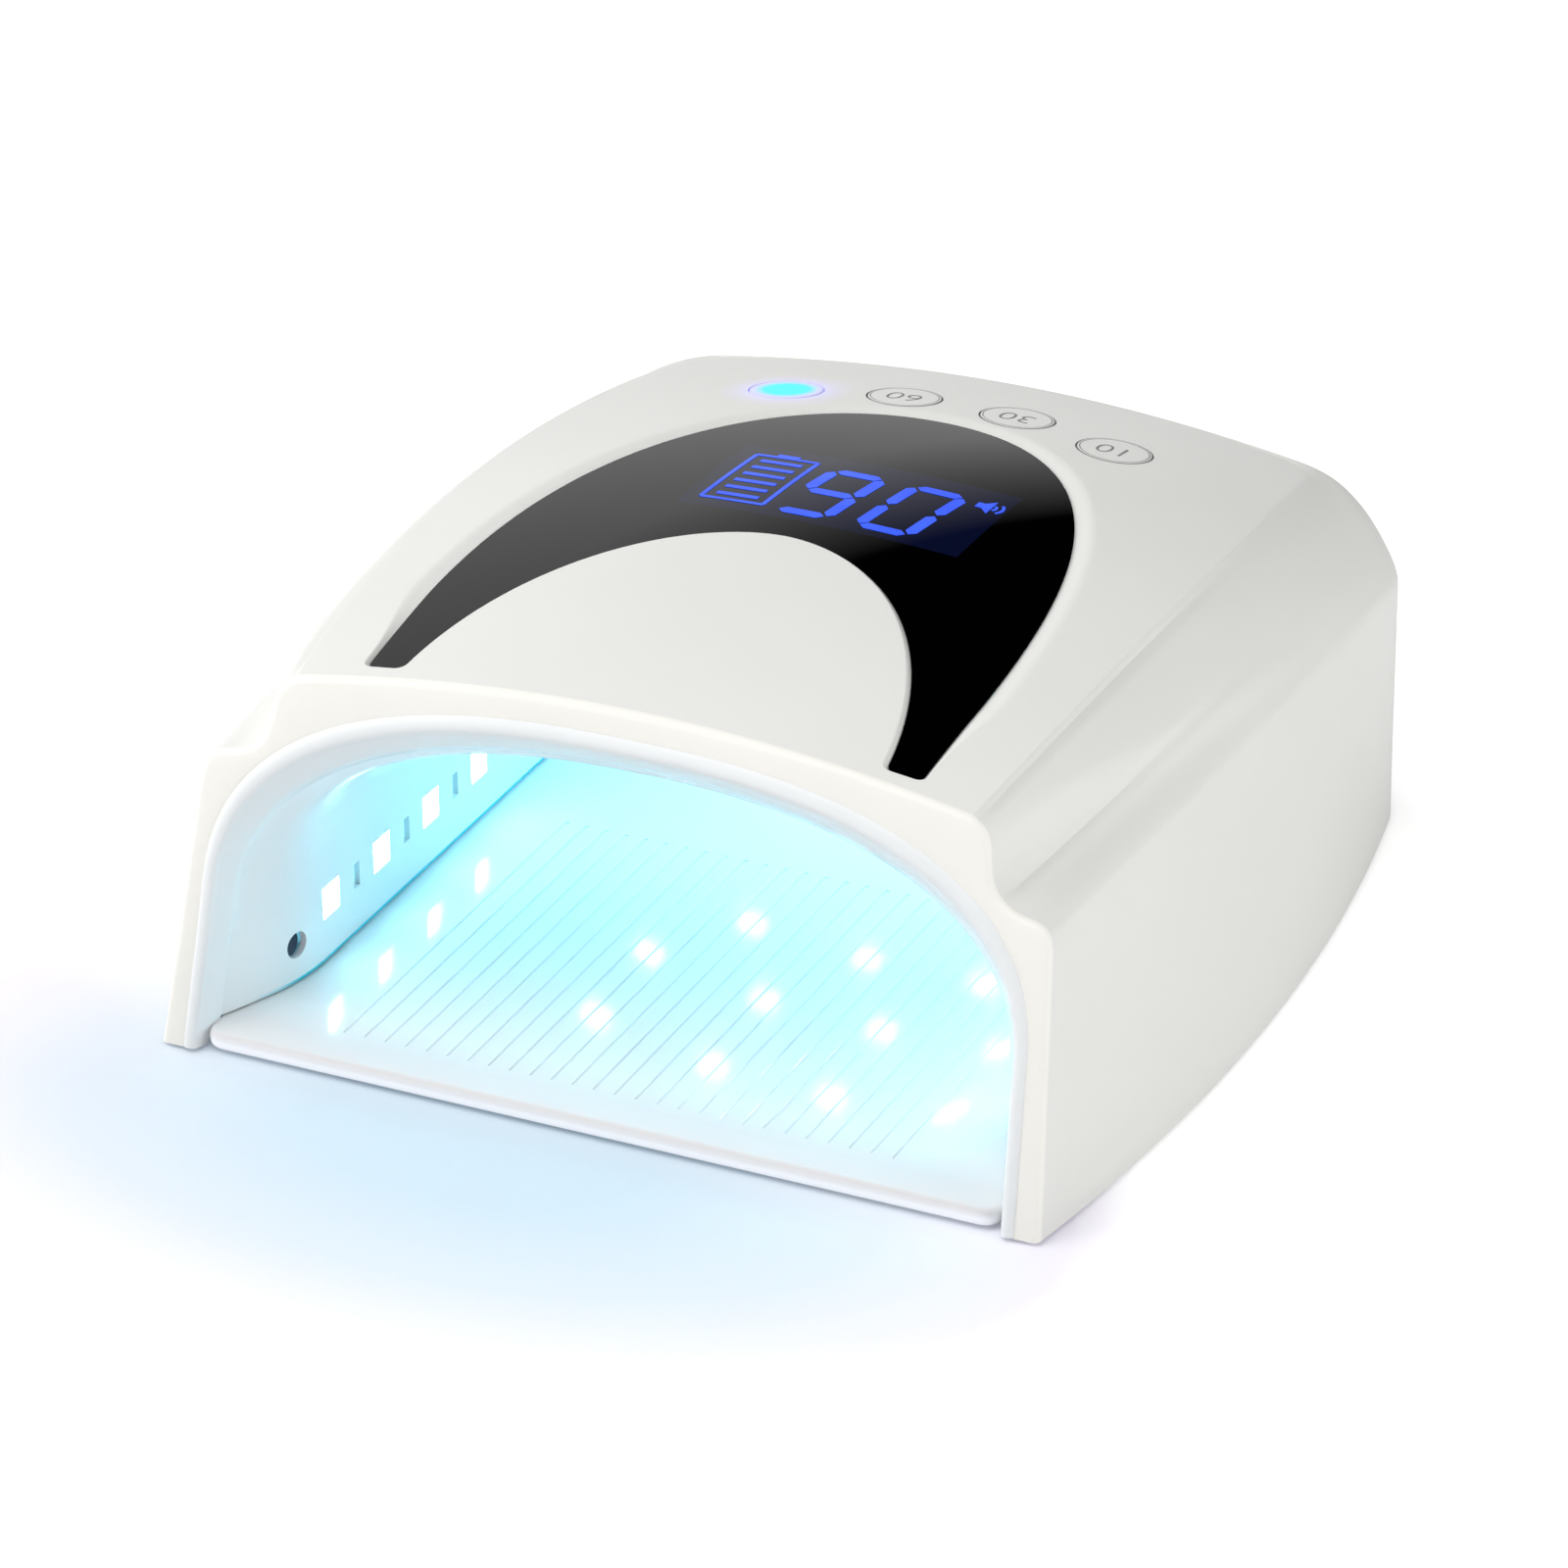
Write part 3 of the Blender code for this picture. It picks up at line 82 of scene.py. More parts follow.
class PlanLine:
    """Half a plan outline of the housing: a side arc, a corner arc and the rear arc."""

    def __init__(self, half_width, side_radius, widest, rear_inset, corner_radius):
        self.radius, self.corner = side_radius, corner_radius
        self.side = Vector((half_width - side_radius, widest))
        self.back = Vector((0, rear - rear_inset - 0.6))
        reach, other = side_radius - corner_radius, 0.6 - corner_radius
        gap = (self.back - self.side).length
        along = (reach ** 2 - other ** 2 + gap ** 2) / (2 * gap)
        unit = (self.back - self.side) / gap
        self.centre = self.side + unit * along + Vector((-unit.y, unit.x)) * math.sqrt(reach ** 2 - along ** 2)
        self.first = math.atan2(*reversed(self.centre - self.side))
        self.second = math.atan2(*reversed(self.centre - self.back))

    def at(self, k, start):
        """The point at place k of 25: 0 to 14 along the side, to 20 round the corner, to 25 at the rear."""
        begin = math.asin((start - self.side.y) / self.radius)
        if k < 14:
            hub, radius, angle = self.side, self.radius, begin + (self.first - begin) * k / 14
        elif k < 20:
            hub, radius, angle = self.centre, self.corner, self.first + (self.second - self.first) * (k - 14) / 6
        else:
            hub, radius, angle = self.back, 0.6, self.second + (math.pi / 2 - self.second) * (k - 20) / 5
        return hub + radius * Vector((math.cos(angle), math.sin(angle)))


base_line = PlanLine(0.1123, 0.560, -0.015759, 0.0, 0.021)
ridge_line = PlanLine(0.1035, 2.0, 0.036242, 0.0008, 0.022)
crown_line = PlanLine(0.0840, 0.800, 0.001236, 0.0065, 0.014)
fold = {"end": (0.87, 0.80, 0.70, 0.58, 0.46, 0.35, 0.26, 0.18, 0.12, 0.12),
        "front": ((0, 0.05, 0.17, 0.41, 0.59, 0.72, 0.79, 0.82, 0.90, 1), (0, 0.14, 0.21, 0.25, 0.32, 0.44, 0.60, 0.77, 0.91, 1)),
        "side": ((0, 0.04, 0.11, 0.20, 0.31, 0.43, 0.56, 0.70, 0.85, 1), (0, 0.10, 0.21, 0.34, 0.47, 0.60, 0.73, 0.84, 0.93, 1)),
        "rear": ((0, 0.02, 0.06, 0.12, 0.20, 0.31, 0.45, 0.62, 0.81, 1), (0, 0.16, 0.32, 0.48, 0.63, 0.76, 0.87, 0.94, 0.985, 1))}


def between(table, place):
    """A smooth reading between a table's values, place running from 0 to 1."""
    place *= len(table) - 1
    k = min(int(place), len(table) - 2)
    t = place - k
    a, b = table[k], table[k + 1]
    slope_a = (b - table[k - 1]) / 2 if k else (b - a)
    slope_b = (table[k + 2] - a) / 2 if k + 2 < len(table) else (b - a)
    return (a * (2 * t ** 3 - 3 * t * t + 1) + b * (3 * t * t - 2 * t ** 3)
            + slope_a * (t ** 3 - 2 * t * t + t) + slope_b * (t ** 3 - t * t))


def crown_front(depth):
    z = crown_top
    for _ in range(30):
        y = front + face_rake * z + depth
        z = crown(crown_line.side.x + math.sqrt(crown_line.radius ** 2 - (y - crown_line.side.y) ** 2), y)
    return y


def crest(x, depth):
    z = crown_top
    for _ in range(30):
        z = crown(x, front + face_rake * z + depth)
    return Vector((x, front + face_rake * z + depth, z))


def wall_point(k, v, depth):
    """A point of the housing's wall: k of 50 round the outline, v from the floor up to the crown's edge."""
    mirror = k > 25
    k = 50 - k if mirror else k
    low = base_line.at(k, front + face_rake * floor_z + depth)
    mid = ridge_line.at(k, front + face_rake * ridge_z + depth)
    high = crown_line.at(k, crown_front(depth))
    if v < 0.3:
        rise = v / 0.3
        point = Vector((*low.lerp(mid, rise), floor_z + (ridge_z - floor_z) * rise))
    else:
        step = (v - 0.3) / 0.7
        end = between(fold["end"], step)
        back = ease(((mid.y - front) / 0.2303 - 0.0050) / (end - 0.0050))
        turning = ease((k - 14) / 6)
        inward, upward = [between(fold["front"][n], step) * (1 - back) + between(fold["side"][n], step) * back
                          for n in (0, 1)]
        inward += turning * (between(fold["rear"][0], step) - inward)
        upward += turning * (between(fold["rear"][1], step) - upward)
        z = ridge_z + upward * (crown(*high) - ridge_z)
        spot = mid.lerp(high, inward)
        point = Vector((spot.x, spot.y, z))
        level = front + face_rake * ridge_z + depth
        start = level + (crown_front(depth) - level) * inward
        point.y += (front + face_rake * z + depth - start) * max(0, 1 - k / 7)
        crease = math.exp(-((step - 0.93) / 0.040) ** 2) * ease(k / 0.6) * ease((12.5 - k) / 9)
        point.x -= 0.0011 * crease
        point.z -= 0.0008 * crease
        valley = math.exp(-((step - 0.46) / 0.035) ** 2) * ease(k / 0.5) * ease((9.5 - k) / 8)
        point.x -= 0.0007 * valley
        point.z -= 0.0007 * valley
    if mirror:
        point.x = -point.x
    return point


def only(*pieces):
    """Selects these pieces and nothing else."""
    bpy.ops.object.select_all(action="DESELECT")
    for piece in pieces:
        piece.select_set(True)
    bpy.context.view_layer.objects.active = pieces[0]


def sheet(name, columns, rows, place):
    """A grid whose points are laid out by place(u, v), u and v running from 0 to 1."""
    bpy.ops.object.select_all(action="DESELECT")
    bpy.ops.mesh.primitive_grid_add(x_subdivisions=columns, y_subdivisions=rows, size=1)
    piece = bpy.context.object
    piece.name = piece.data.name = name
    for vert in piece.data.vertices:
        u, v = vert.co.x + 0.5, vert.co.y + 0.5
        vert.co = place(min(max(u, 0), 1), min(max(v, 0), 1))
    return piece


def edit(piece, *steps):
    """Runs operators on all of a piece in edit mode."""
    only(piece)
    bpy.ops.object.mode_set(mode="EDIT")
    bpy.ops.mesh.select_all(action="SELECT")
    for step in steps:
        step()
    bpy.ops.object.mode_set(mode="OBJECT")


def merge_seams():
    bpy.ops.mesh.remove_doubles(threshold=2e-6)


def close_holes():
    bpy.ops.mesh.fill_holes(sides=0)


def outward():
    bpy.ops.mesh.normals_make_consistent(inside=False)


def apply(piece, kind, **settings):
    """Adds a modifier, sets it and applies it."""
    only(piece)
    step = piece.modifiers.new(kind, kind)
    for key, value in settings.items():
        setattr(step, key, value)
    bpy.ops.object.modifier_apply(modifier=step.name)


def carve(piece, cutter, operation="DIFFERENCE"):
    """Cuts a piece with a closed cutter, or joins the two, and drops the cutter."""
    apply(piece, "BOOLEAN", operation=operation, solver="EXACT", object=cutter)
    bpy.data.objects.remove(cutter)


def smooth(piece, angle=35):
    only(piece)
    bpy.ops.object.shade_smooth_by_angle(angle=math.radians(angle))


def prism(name, outline, low, high):
    """A closed block over a plan outline; low and high give the heights of a point."""
    bpy.ops.object.select_all(action="DESELECT")
    bpy.ops.mesh.primitive_circle_add(vertices=len(outline), fill_type="NGON")
    piece = bpy.context.object
    piece.name = piece.data.name = name
    for vert, (x, y) in zip(piece.data.vertices, outline):
        vert.co = (x, y, low(x, y))
    edit(piece, lambda: bpy.ops.mesh.extrude_region_move(TRANSFORM_OT_translate={"value": (0, 0, 1)}))
    for vert in piece.data.vertices:
        if vert.co.z > 0.5:
            vert.co.z = high(vert.co.x, vert.co.y)
    edit(piece, outward)
    return piece


class Value:
    """A shader socket that takes part in sums."""

    def __init__(self, tree, socket):
        self.tree, self.socket = tree, socket

    def maths(self, operation, first, second=0.0):
        step = self.tree.nodes.new("ShaderNodeMath")
        step.operation = operation
        for slot, value in zip(step.inputs, (first, second)):
            if isinstance(value, Value):
                self.tree.links.new(value.socket, slot)
            else:
                slot.default_value = value
        return Value(self.tree, step.outputs[0])

    def __add__(self, other):
        return self.maths("ADD", self, other)

    def __sub__(self, other):
        return self.maths("SUBTRACT", self, other)

    def __rsub__(self, other):
        return self.maths("SUBTRACT", other, self)

    def __mul__(self, other):
        return self.maths("MULTIPLY", self, other)

    def __truediv__(self, other):
        return self.maths("DIVIDE", self, other)

    def __gt__(self, other):
        return self.maths("GREATER_THAN", self, other)

    def __lt__(self, other):
        return self.maths("LESS_THAN", self, other)

    __radd__, __rmul__ = __add__, __mul__


class Finish:
    """A Principled material of one of the lamp's surfaces."""

    def __init__(self, name, **constants):
        self.material = bpy.data.materials.new(name)
        self.material.use_nodes = True
        self.tree = self.material.node_tree
        self.shader = self.tree.nodes["Principled BSDF"]
        for key, value in constants.items():
            self.feed(key.replace("_", " "), value)

    def feed(self, socket, value):
        slot = self.shader.inputs[socket]
        if isinstance(value, Value):
            self.tree.links.new(value.socket, slot)
        elif isinstance(value, tuple) and len(value) == 3 and len(slot.default_value) == 4:
            slot.default_value = (*value, 1.0)
        else:
            slot.default_value = value

    def add(self, kind, settings, inputs, output=0):
        """A node: its settings first, then the values or links of its sockets."""
        made = self.tree.nodes.new(kind)
        for key, value in settings.items():
            if key == "stops":
                while len(made.color_ramp.elements) < len(value):
                    made.color_ramp.elements.new(0.5)
                for stop, (place, colour) in zip(made.color_ramp.elements, value):
                    stop.position, stop.color = place, (*colour, 1.0)
            else:
                setattr(made, key, value)
        for key, value in inputs.items():
            if isinstance(value, Value):
                self.tree.links.new(value.socket, made.inputs[key])
            else:
                made.inputs[key].default_value = value
        return Value(self.tree, made.outputs[output])

    def place(self):
        return self.add("ShaderNodeTexCoord", {}, {}, "Object")

    def noise(self, scale, detail=2.0):
        return self.add("ShaderNodeTexNoise", {}, {"Vector": self.place(), "Scale": scale, "Detail": detail})

    def ramp(self, value, *stops):
        return self.add("ShaderNodeValToRGB", {"stops": stops}, {"Fac": value})

    def blend(self, amount, first, second):
        """Two colours mixed by an amount."""
        return self.add("ShaderNodeMix", {"data_type": "RGBA"}, {0: amount, 6: first, 7: second}, 2)

    def bump(self, height, strength, distance):
        self.feed("Normal", self.add("ShaderNodeBump", {}, {"Height": height, "Strength": strength, "Distance": distance}))

    def wear(self, piece, slot=None, body="housing"):
        """Dresses a new piece and lets it move with its body."""
        piece.data.materials.clear()
        piece.data.materials.append(self.material)
        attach(piece, body)

    def dress(self, *names):
        """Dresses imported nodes."""
        for name in names:
            for slot in node[name].material_slots:
                slot.material = self.material


def moulded(name, colour, shade, roughness, grain=0.02):
    """A moulded plastic: faint cloudiness, a little variation in gloss, and fine moulding grain."""
    finish = Finish(name, IOR=1.49)
    cloud = finish.noise(14.0, 3.0)
    finish.feed("Base Color", finish.ramp(cloud, (0.35, shade), (0.65, colour)))
    finish.feed("Roughness", finish.noise(60.0, 4.0) * 0.06 + roughness)
    finish.bump(finish.noise(2600.0, 1.0), grain, 0.0001)
    return finish


warm_white = moulded("warm_white_moulding", (0.82, 0.82, 0.795), (0.80, 0.80, 0.775), 0.30)

steps = 4
columns = 50 * steps


def wall_place(u, v):
    return wall_point(u * 50, v ** 0.85, shell_depth)


def crown_place(s, t):
    """The crown between its right edge, left edge, face and rear."""
    start = crown_front(shell_depth)
    edge_right = crown_line.at(17 * t, start)
    rear_k = 17 + 16 * s
    edge_rear = crown_line.at(min(rear_k, 50 - rear_k), start)
    if rear_k > 25:
        edge_rear = Vector((-edge_rear.x, edge_rear.y))
    half = crown_line.at(0, start)
    corner = crown_line.at(17, start)
    x_front = half.x * (1 - 2 * s)
    spot = []
    for n, mirror in ((0, -1), (1, 1)):
        across = (1 - s) * edge_right[n] + s * mirror * edge_right[n]
        face = x_front if n == 0 else crest(x_front, shell_depth).y
        along = (1 - t) * face + t * edge_rear[n]
        both = (1 - s + s * mirror) * ((1 - t) * half[n] + t * corner[n])
        spot.append(across + along - both)
    return Vector((spot[0], spot[1], crown(*spot)))


housing = sheet("housing_moulding", columns, 60, wall_place)
crown_cap = sheet("crown_cap", 16 * steps, 17 * steps, crown_place)
only(housing, crown_cap)
bpy.ops.object.join()
edit(housing, merge_seams, outward)
apply(housing, "SOLIDIFY", thickness=0.0018, offset=-1.0, use_even_offset=False)


# Window surround: the crown's own surface, rolled down to the black window in a soft band that is
# wide along the outer edge and narrow round the tongue.
def crescent(count=90):
    """The window's closed outline in plan, starting at the right tip's outer corner."""
    outer, inner = [], []
    start = math.asin((0.0097 / 0.0830) ** (1.85 / 2))
    outer_y, inner_y = front + 0.0583, front + 0.0183
    outer.append((0.0652 - 0.0303 ** 2 / 1.12, front + 0.0280))
    for k in range(count + 1):
        a = math.pi / 2 * k / count
        b = start + (math.pi / 2 - start) * k / count
        outer.append((0.0652 * math.cos(a) ** (2 / 2.15), outer_y + 0.1238 * math.sin(a) ** (2 / 2.15)))
        inner.append((0.0570 * math.cos(b) ** (2 / 1.85), inner_y + 0.0830 * math.sin(b) ** (2 / 1.85)))
    outer = even(outer, count)
    inner = even(inner, count)
    middle = (Vector(outer[0]) + Vector(inner[0])) / 2
    outer, inner = rounded(outer, middle), rounded(inner, middle)
    arc = outer + [(-x, y) for x, y in reversed(outer[:-1])]
    back = inner + [(-x, y) for x, y in reversed(inner[:-1])]
    return arc, list(reversed(back))


def rounded(line, middle):
    """A window edge that starts in the middle of the tip and turns its corner in a small curve."""
    corner = Vector(line[0])
    before = corner + (middle - corner).normalized() * 0.0015
    after = corner + (Vector(line[2]) - corner).normalized() * 0.0015
    curve = [before * (1 - t) ** 2 + corner * 2 * t * (1 - t) + after * t * t for t in (0, 0.2, 0.4, 0.6, 0.8, 1)]
    return [tuple(middle)] + [tuple(p) for p in curve] + line[2:]


def even(points, count):
    """A line's points at equal distances."""
    lengths = [0.0]
    for a, b in zip(points, points[1:]):
        lengths.append(lengths[-1] + math.dist(a, b))
    out, k = [], 1
    for n in range(count + 1):
        goal = lengths[-1] * n / count
        while k < len(points) - 1 and lengths[k] < goal:
            k += 1
        part = (goal - lengths[k - 1]) / (lengths[k] - lengths[k - 1])
        out.append(tuple(a + (b - a) * part for a, b in zip(points[k - 1], points[k])))
    return out


def widened(outline, widths):
    """A closed outline moved outwards, each point by its own width."""
    out = []
    for k, here in enumerate(outline):
        before, after = Vector(outline[k - 1]), Vector(outline[(k + 1) % len(outline)])
        one = (Vector(here) - before).normalized()
        two = (after - Vector(here)).normalized()
        normal = Vector((one.y + two.y, -one.x - two.x)).normalized()
        reach = widths[k] / max(0.5, normal.dot(Vector((one.y, -one.x))))
        out.append(tuple(Vector(here) + normal * reach))
    return out


arc, back = crescent()
window_line = arc + back[1:-1]
ends = len(arc)
widths = []
for k in range(len(window_line)):
    from_tip = min(k, ends - 1 - k) if k < ends else -1
    widths.append(0.0012 + 0.0038 * ease((from_tip - 7) / 14) if from_tip >= 0 else 0.0012)
band_line = widened(window_line, widths)
carve(housing, prism("window_cutter", band_line, lambda x, y: crown(x, y) - 0.01, lambda x, y: crown(x, y) + 0.01))


def band_place(u, v):
    k = round(u * len(window_line)) % len(window_line)
    low, high = Vector(window_line[k]), Vector(band_line[k])
    if v < 0.1:
        spot, drop = low, 0.0011 + 0.0008 * (1 - v / 0.1)
    else:
        way = (v - 0.1) / 0.9
        spot = low.lerp(high, way)
        drop = 0.0011 * (1 - math.sin(way * math.pi / 2) ** 1.6)
    return Vector((spot.x, spot.y, crown(*spot) - drop))


band = sheet("window_surround", len(window_line), 20, band_place)
edit(band, merge_seams, outward)
apply(band, "SOLIDIFY", thickness=0.0006, offset=-1.0)

key_spots = {"key_99": (-0.04060, 0.0423), "key_60": (-0.0140, 0.0356), "key_30": (0.0140, 0.0356), "key_10": (0.04060, 0.0423)}


def key_circle(name, radius, count=72):
    """A key's round outline in plan; the key moves along the slope of the crown at the control board."""
    x0, from_rear = key_spots[name]
    y0 = rear - from_rear
    lean = 0.98401
    return [(x0 + radius * math.cos(2 * math.pi * k / count), y0 + radius * lean * math.sin(2 * math.pi * k / count))
            for k in range(count)]


for name in key_spots:
    carve(housing, prism("key_cutter", key_circle(name, 0.0089), lambda x, y: crown(x, y) - 0.01,
                         lambda x, y: crown(x, y) + 0.01))


def block(name, low, high):
    """A plain block, used as a cutter or as the start of a piece."""
    outline = ((low[0], low[1]), (high[0], low[1]), (high[0], high[1]), (low[0], high[1]))
    return prism(name, outline, lambda x, y: low[2], lambda x, y: high[2])


def rod(name, start, axis, radius, length, count=48):
    """A round bar from a point along an axis."""
    bpy.ops.object.select_all(action="DESELECT")
    bpy.ops.mesh.primitive_cylinder_add(vertices=count, radius=radius, depth=length)
    piece = bpy.context.object
    piece.name = piece.data.name = name
    axis = Vector(axis).normalized()
    middle = Vector(start) + axis * length / 2
    piece.data.transform(Matrix.Translation(middle) @ axis.to_track_quat("Z", "Y").to_matrix().to_4x4())
    return piece


socket_low, socket_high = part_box("charging_socket")
switch_low, switch_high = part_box("rocker_body")
carve(housing, rod("socket_hole", (-0.018, 0.104, 0.030), (0, 1, 0), 0.0043, 0.02))
carve(housing, block("switch_hole", (0.0027, 0.104, 0.0235), (0.0213, 0.124, 0.0365)))
smooth(housing, 28)
smooth(band, 50)
warm_white.wear(housing, "shell_white")
warm_white.wear(band, "shell_white")
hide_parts("top_shell")


# Front bezel: a separate cream moulding that frames the raked hand opening, snapped into the housing's
# edge. Its outer edge is crisp, its inner edge softly rounded.
def superellipse(leg, shoulder, shoulder_z, height, power, foot, count):
    """Right half of an arched opening, from its foot to its top, as x and z."""
    line = [(leg, foot), (leg + (shoulder - leg) * 0.5, foot + (shoulder_z - foot) * 0.5)]
    for k in range(count + 1):
        a = math.pi / 2 * k / count
        line.append((shoulder * math.cos(a) ** (2 / power),
                     shoulder_z + (height - shoulder_z) * math.sin(a) ** (2 / power)))
    line[-1] = (0.0, height)
    return line


def face_outline(depth, count):
    """Right half of the housing's outline at the face, as x and z."""
    line = []
    for k in range(61):
        point = wall_point(0, k / 60, depth)
        line.append((point.x, point.z))
    half = line[-1][0]
    line += [(half * (1 - k / 40), crest(half * (1 - k / 40), depth).z) for k in range(1, 41)]
    return even(line, count)


frame_steps = 150
outer_line = face_outline(0.0, frame_steps)
seam_line = face_outline(shell_depth, frame_steps)
opening_line = even(superellipse(0.09716, 0.09596, 0.0340, 0.0853, 2.5, floor_z, 60), frame_steps)


def bezel_section(width, back_depth):
    """The bezel's section as (share across, depth): outer back, rounded face edges, inner back."""
    ring = [(0.00015 / width, 0.0026), (0.0, shell_depth)]
    for k in range(7):
        a = math.pi / 2 * k / 6
        ring.append(((1 - math.cos(a)) * 0.0012 / width, (1 - math.sin(a)) * 0.0013))
    for k in range(7):
        a = math.pi / 2 * k / 6
        ring.append((1 - (1 - math.sin(a)) * 0.0010 / width, (1 - math.cos(a)) * 0.0010))
    ring += [(1.0, back_depth), (0.35, back_depth), (0.35, 0.0016)]
    return ring


def bezel_place(u, v):
    k = round(u * 2 * frame_steps)
    mirror = -1 if k > frame_steps else 1
    k = 2 * frame_steps - k if k > frame_steps else k
    out, inn = Vector(outer_line[k]), Vector(opening_line[k])
    ring = bezel_section((out - inn).length, 0.0060)
    share, depth = ring[round(v * len(ring)) % len(ring)]
    out = out.lerp(Vector(seam_line[k]), min(1, depth / shell_depth))
    spot = out.lerp(inn, share)
    return Vector((mirror * spot.x, front + face_rake * spot.y + depth, spot.y))


bezel = sheet("bezel_moulding", 2 * frame_steps, 19, bezel_place)
edit(bezel, merge_seams, close_holes, outward)
smooth(bezel, 40)
cream = moulded("cream_moulding", (0.93, 0.915, 0.865), (0.91, 0.895, 0.845), 0.30)
cream.wear(bezel, "bezel_cream")
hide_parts("front_bezel")


# Reflector: the cool white moulding that lines the hand opening, with a rounded funnel lip, light
# windows in its walls and roof, and a flange below that the screws and magnets sit in.
cavity_start, cavity_end, flange_floor, flange_top = front + 0.030, front + 0.198, 0.0054, 0.0086


def arch(leg, shoulder, shoulder_z, height, power, foot):
    """A whole arched line in 144 steps, right foot to left foot, as x and z."""
    half = [(leg + (shoulder - leg) * k / 8, foot + (shoulder_z - foot) * k / 8) for k in range(8)]
    for k in range(65):
        a = math.pi / 2 * k / 64
        half.append((shoulder * math.cos(a) ** (2 / power),
                     shoulder_z + (height - shoulder_z) * math.sin(a) ** (2 / power)))
    half[-1] = (0.0, height)
    return half + [(-x, z) for x, z in reversed(half[:-1])]


def cavity_line(y, inset, foot):
    height = 0.0750 + (y - cavity_start) / (cavity_end - cavity_start) * (0.0555 - 0.0750)
    line = arch(0.08546 - inset, 0.08546 - inset, 0.0300, height - inset, 2.3, foot)
    return [Vector((x, y, z)) for x, z in line]


def lip_line(share, depth, foot):
    """A line of the mouth's lip: share 0 at the bezel, 1 at the funnel."""
    outer = arch(0.09671, 0.09551, 0.0340, 0.08485, 2.5, foot)
    inner = arch(0.09436, 0.09246, 0.0300, 0.0785, 2.3, foot)
    spots = [Vector(a).lerp(Vector(b), share) for a, b in zip(outer, inner)]
    return [Vector((p.x, front + face_rake * p.y + depth, p.y)) for p in spots]


def reflector_rows():
    rows = [lip_line(0, 0.0030, floor_z)]
    for k in range(11):
        a = math.pi * 0.88 * k / 10
        rows.append(lip_line(0.16 * (1 - math.cos(a)), 0.0014 - 0.0009 * math.sin(a), floor_z))
    for k in range(1, 9):
        rows.append(lip_line(0.30 + 0.70 * k / 8, 0.0011 + 0.0052 * (k / 8) ** 1.15, floor_z))
    foot = flange_floor + 0.0001
    mouth, throat = lip_line(1, 0.0066, foot), cavity_line(cavity_start, 0.0003, foot)
    straight = cavity_line(cavity_start + 0.010, 0.0003, foot)
    rows += [[a.lerp(b, k / 5) for a, b in zip(mouth, throat)] for k in range(4)]
    near = rows[-1]
    for k in range(1, 13):
        t = k / 12
        rows.append([a * (1 - t) ** 2 + b * 2 * t * (1 - t) + c * t * t for a, b, c in zip(near, throat, straight)])
    rows += [cavity_line(cavity_start + 0.010 + k * 0.010, 0.0003, foot) for k in range(1, 15)]
    for k in range(9):
        a = math.pi / 2 * k / 8
        rows.append(cavity_line(cavity_end - 0.009 * (1 - math.sin(a)), 0.0003 + 0.009 * (1 - math.cos(a)), foot))
    last = rows[-1]
    for share in (0.8, 0.6, 0.4, 0.2, 0.001):
        rows.append([Vector((p.x * share, p.y, foot + (p.z - foot) * share)) for p in last])
    return rows


reflector_grid = reflector_rows()
reflector = sheet("reflector_moulding", 144, len(reflector_grid) - 1,
                  lambda u, v: reflector_grid[round(v * (len(reflector_grid) - 1))][round(u * 144)])
edit(reflector, merge_seams, outward)
apply(reflector, "SOLIDIFY", thickness=0.0014, offset=1.0)
side_windows = [front + 0.0431 + 0.0237 * k for k in range(4)]
sensor_y, sensor_z = front + 0.0291, 0.0144
cuts = []
for side in (-1, 1):
    x_low, x_high = sorted((side * 0.0815, side * 0.0895))
    openings = [(y, 0.0038, 0.0038) for y in side_windows] + [(y + 0.01185, 0.0014, 0.0030) for y in side_windows[:3]]
    for y, half_width, half_height in openings:
        cuts.append(block("window", (x_low, y - half_width, 0.0195 - half_height),
                          (x_high, y + half_width, 0.0195 + half_height)))
    cuts.append(rod("eye_hole", (side * 0.0815, sensor_y, sensor_z), (side, 0, 0), 0.0031, 0.008))
lamp_rows = ((5, rear - 0.1070), (5, rear - 0.0790), (4, rear - 0.0540))
lamp_spots = [((k - (count - 1) / 2) * (0.08546 - 0.0175) * 0.4412, y) for count, y in lamp_rows for k in range(count)]
for x, y in lamp_spots:
    cuts.append(block("window", (x - 0.0038, y - 0.0038, 0.036), (x + 0.0038, y + 0.0038, 0.090)))
only(*cuts)
bpy.ops.object.join()
carve(reflector, cuts[0])


def plan(line, start, inset, count=4):
    """A closed plan outline of the housing, moved inwards, from a straight front end."""
    right_half = []
    for k in range(25 * count + 1):
        here = line.at(k / count, start)
        ahead, behind = line.at(min(k / count + 0.01, 25), start), line.at(max(k / count - 0.01, 0), start)
        along = (ahead - behind).normalized()
        spot = here - Vector((along.y, -along.x)) * inset
        right_half.append((spot.x if k < 25 * count else 0.0, spot.y))
    return right_half + [(-x, y) for x, y in reversed(right_half[:-1])]


flange = prism("flange", plan(base_line, front + 0.0090, 0.0044), lambda x, y: flange_floor, lambda x, y: flange_top)
room = [(0.0945, front - 0.01), (0.0945, front + 0.0085), (0.0856, cavity_start), (0.0856, cavity_end + 0.0001)]
carve(flange, prism("cavity_room", room + [(-x, y) for x, y in reversed(room)], lambda x, y: 0.0, lambda x, y: 0.02))
screw_spots = []
for share in (0.1954, 0.4907, 0.7816):
    y = front + share * 0.2303
    low = base_line.side.x + math.sqrt(0.560 ** 2 - (y - base_line.side.y) ** 2)
    high = ridge_line.side.x + math.sqrt(2.0 ** 2 - (y - ridge_line.side.y) ** 2)
    x = low + (high - low) * (0.0270 - floor_z) / (ridge_z - floor_z) - 0.0022 - 0.0036 + 0.0010
    screw_spots += [("right", x, y), ("left", -x, y)]
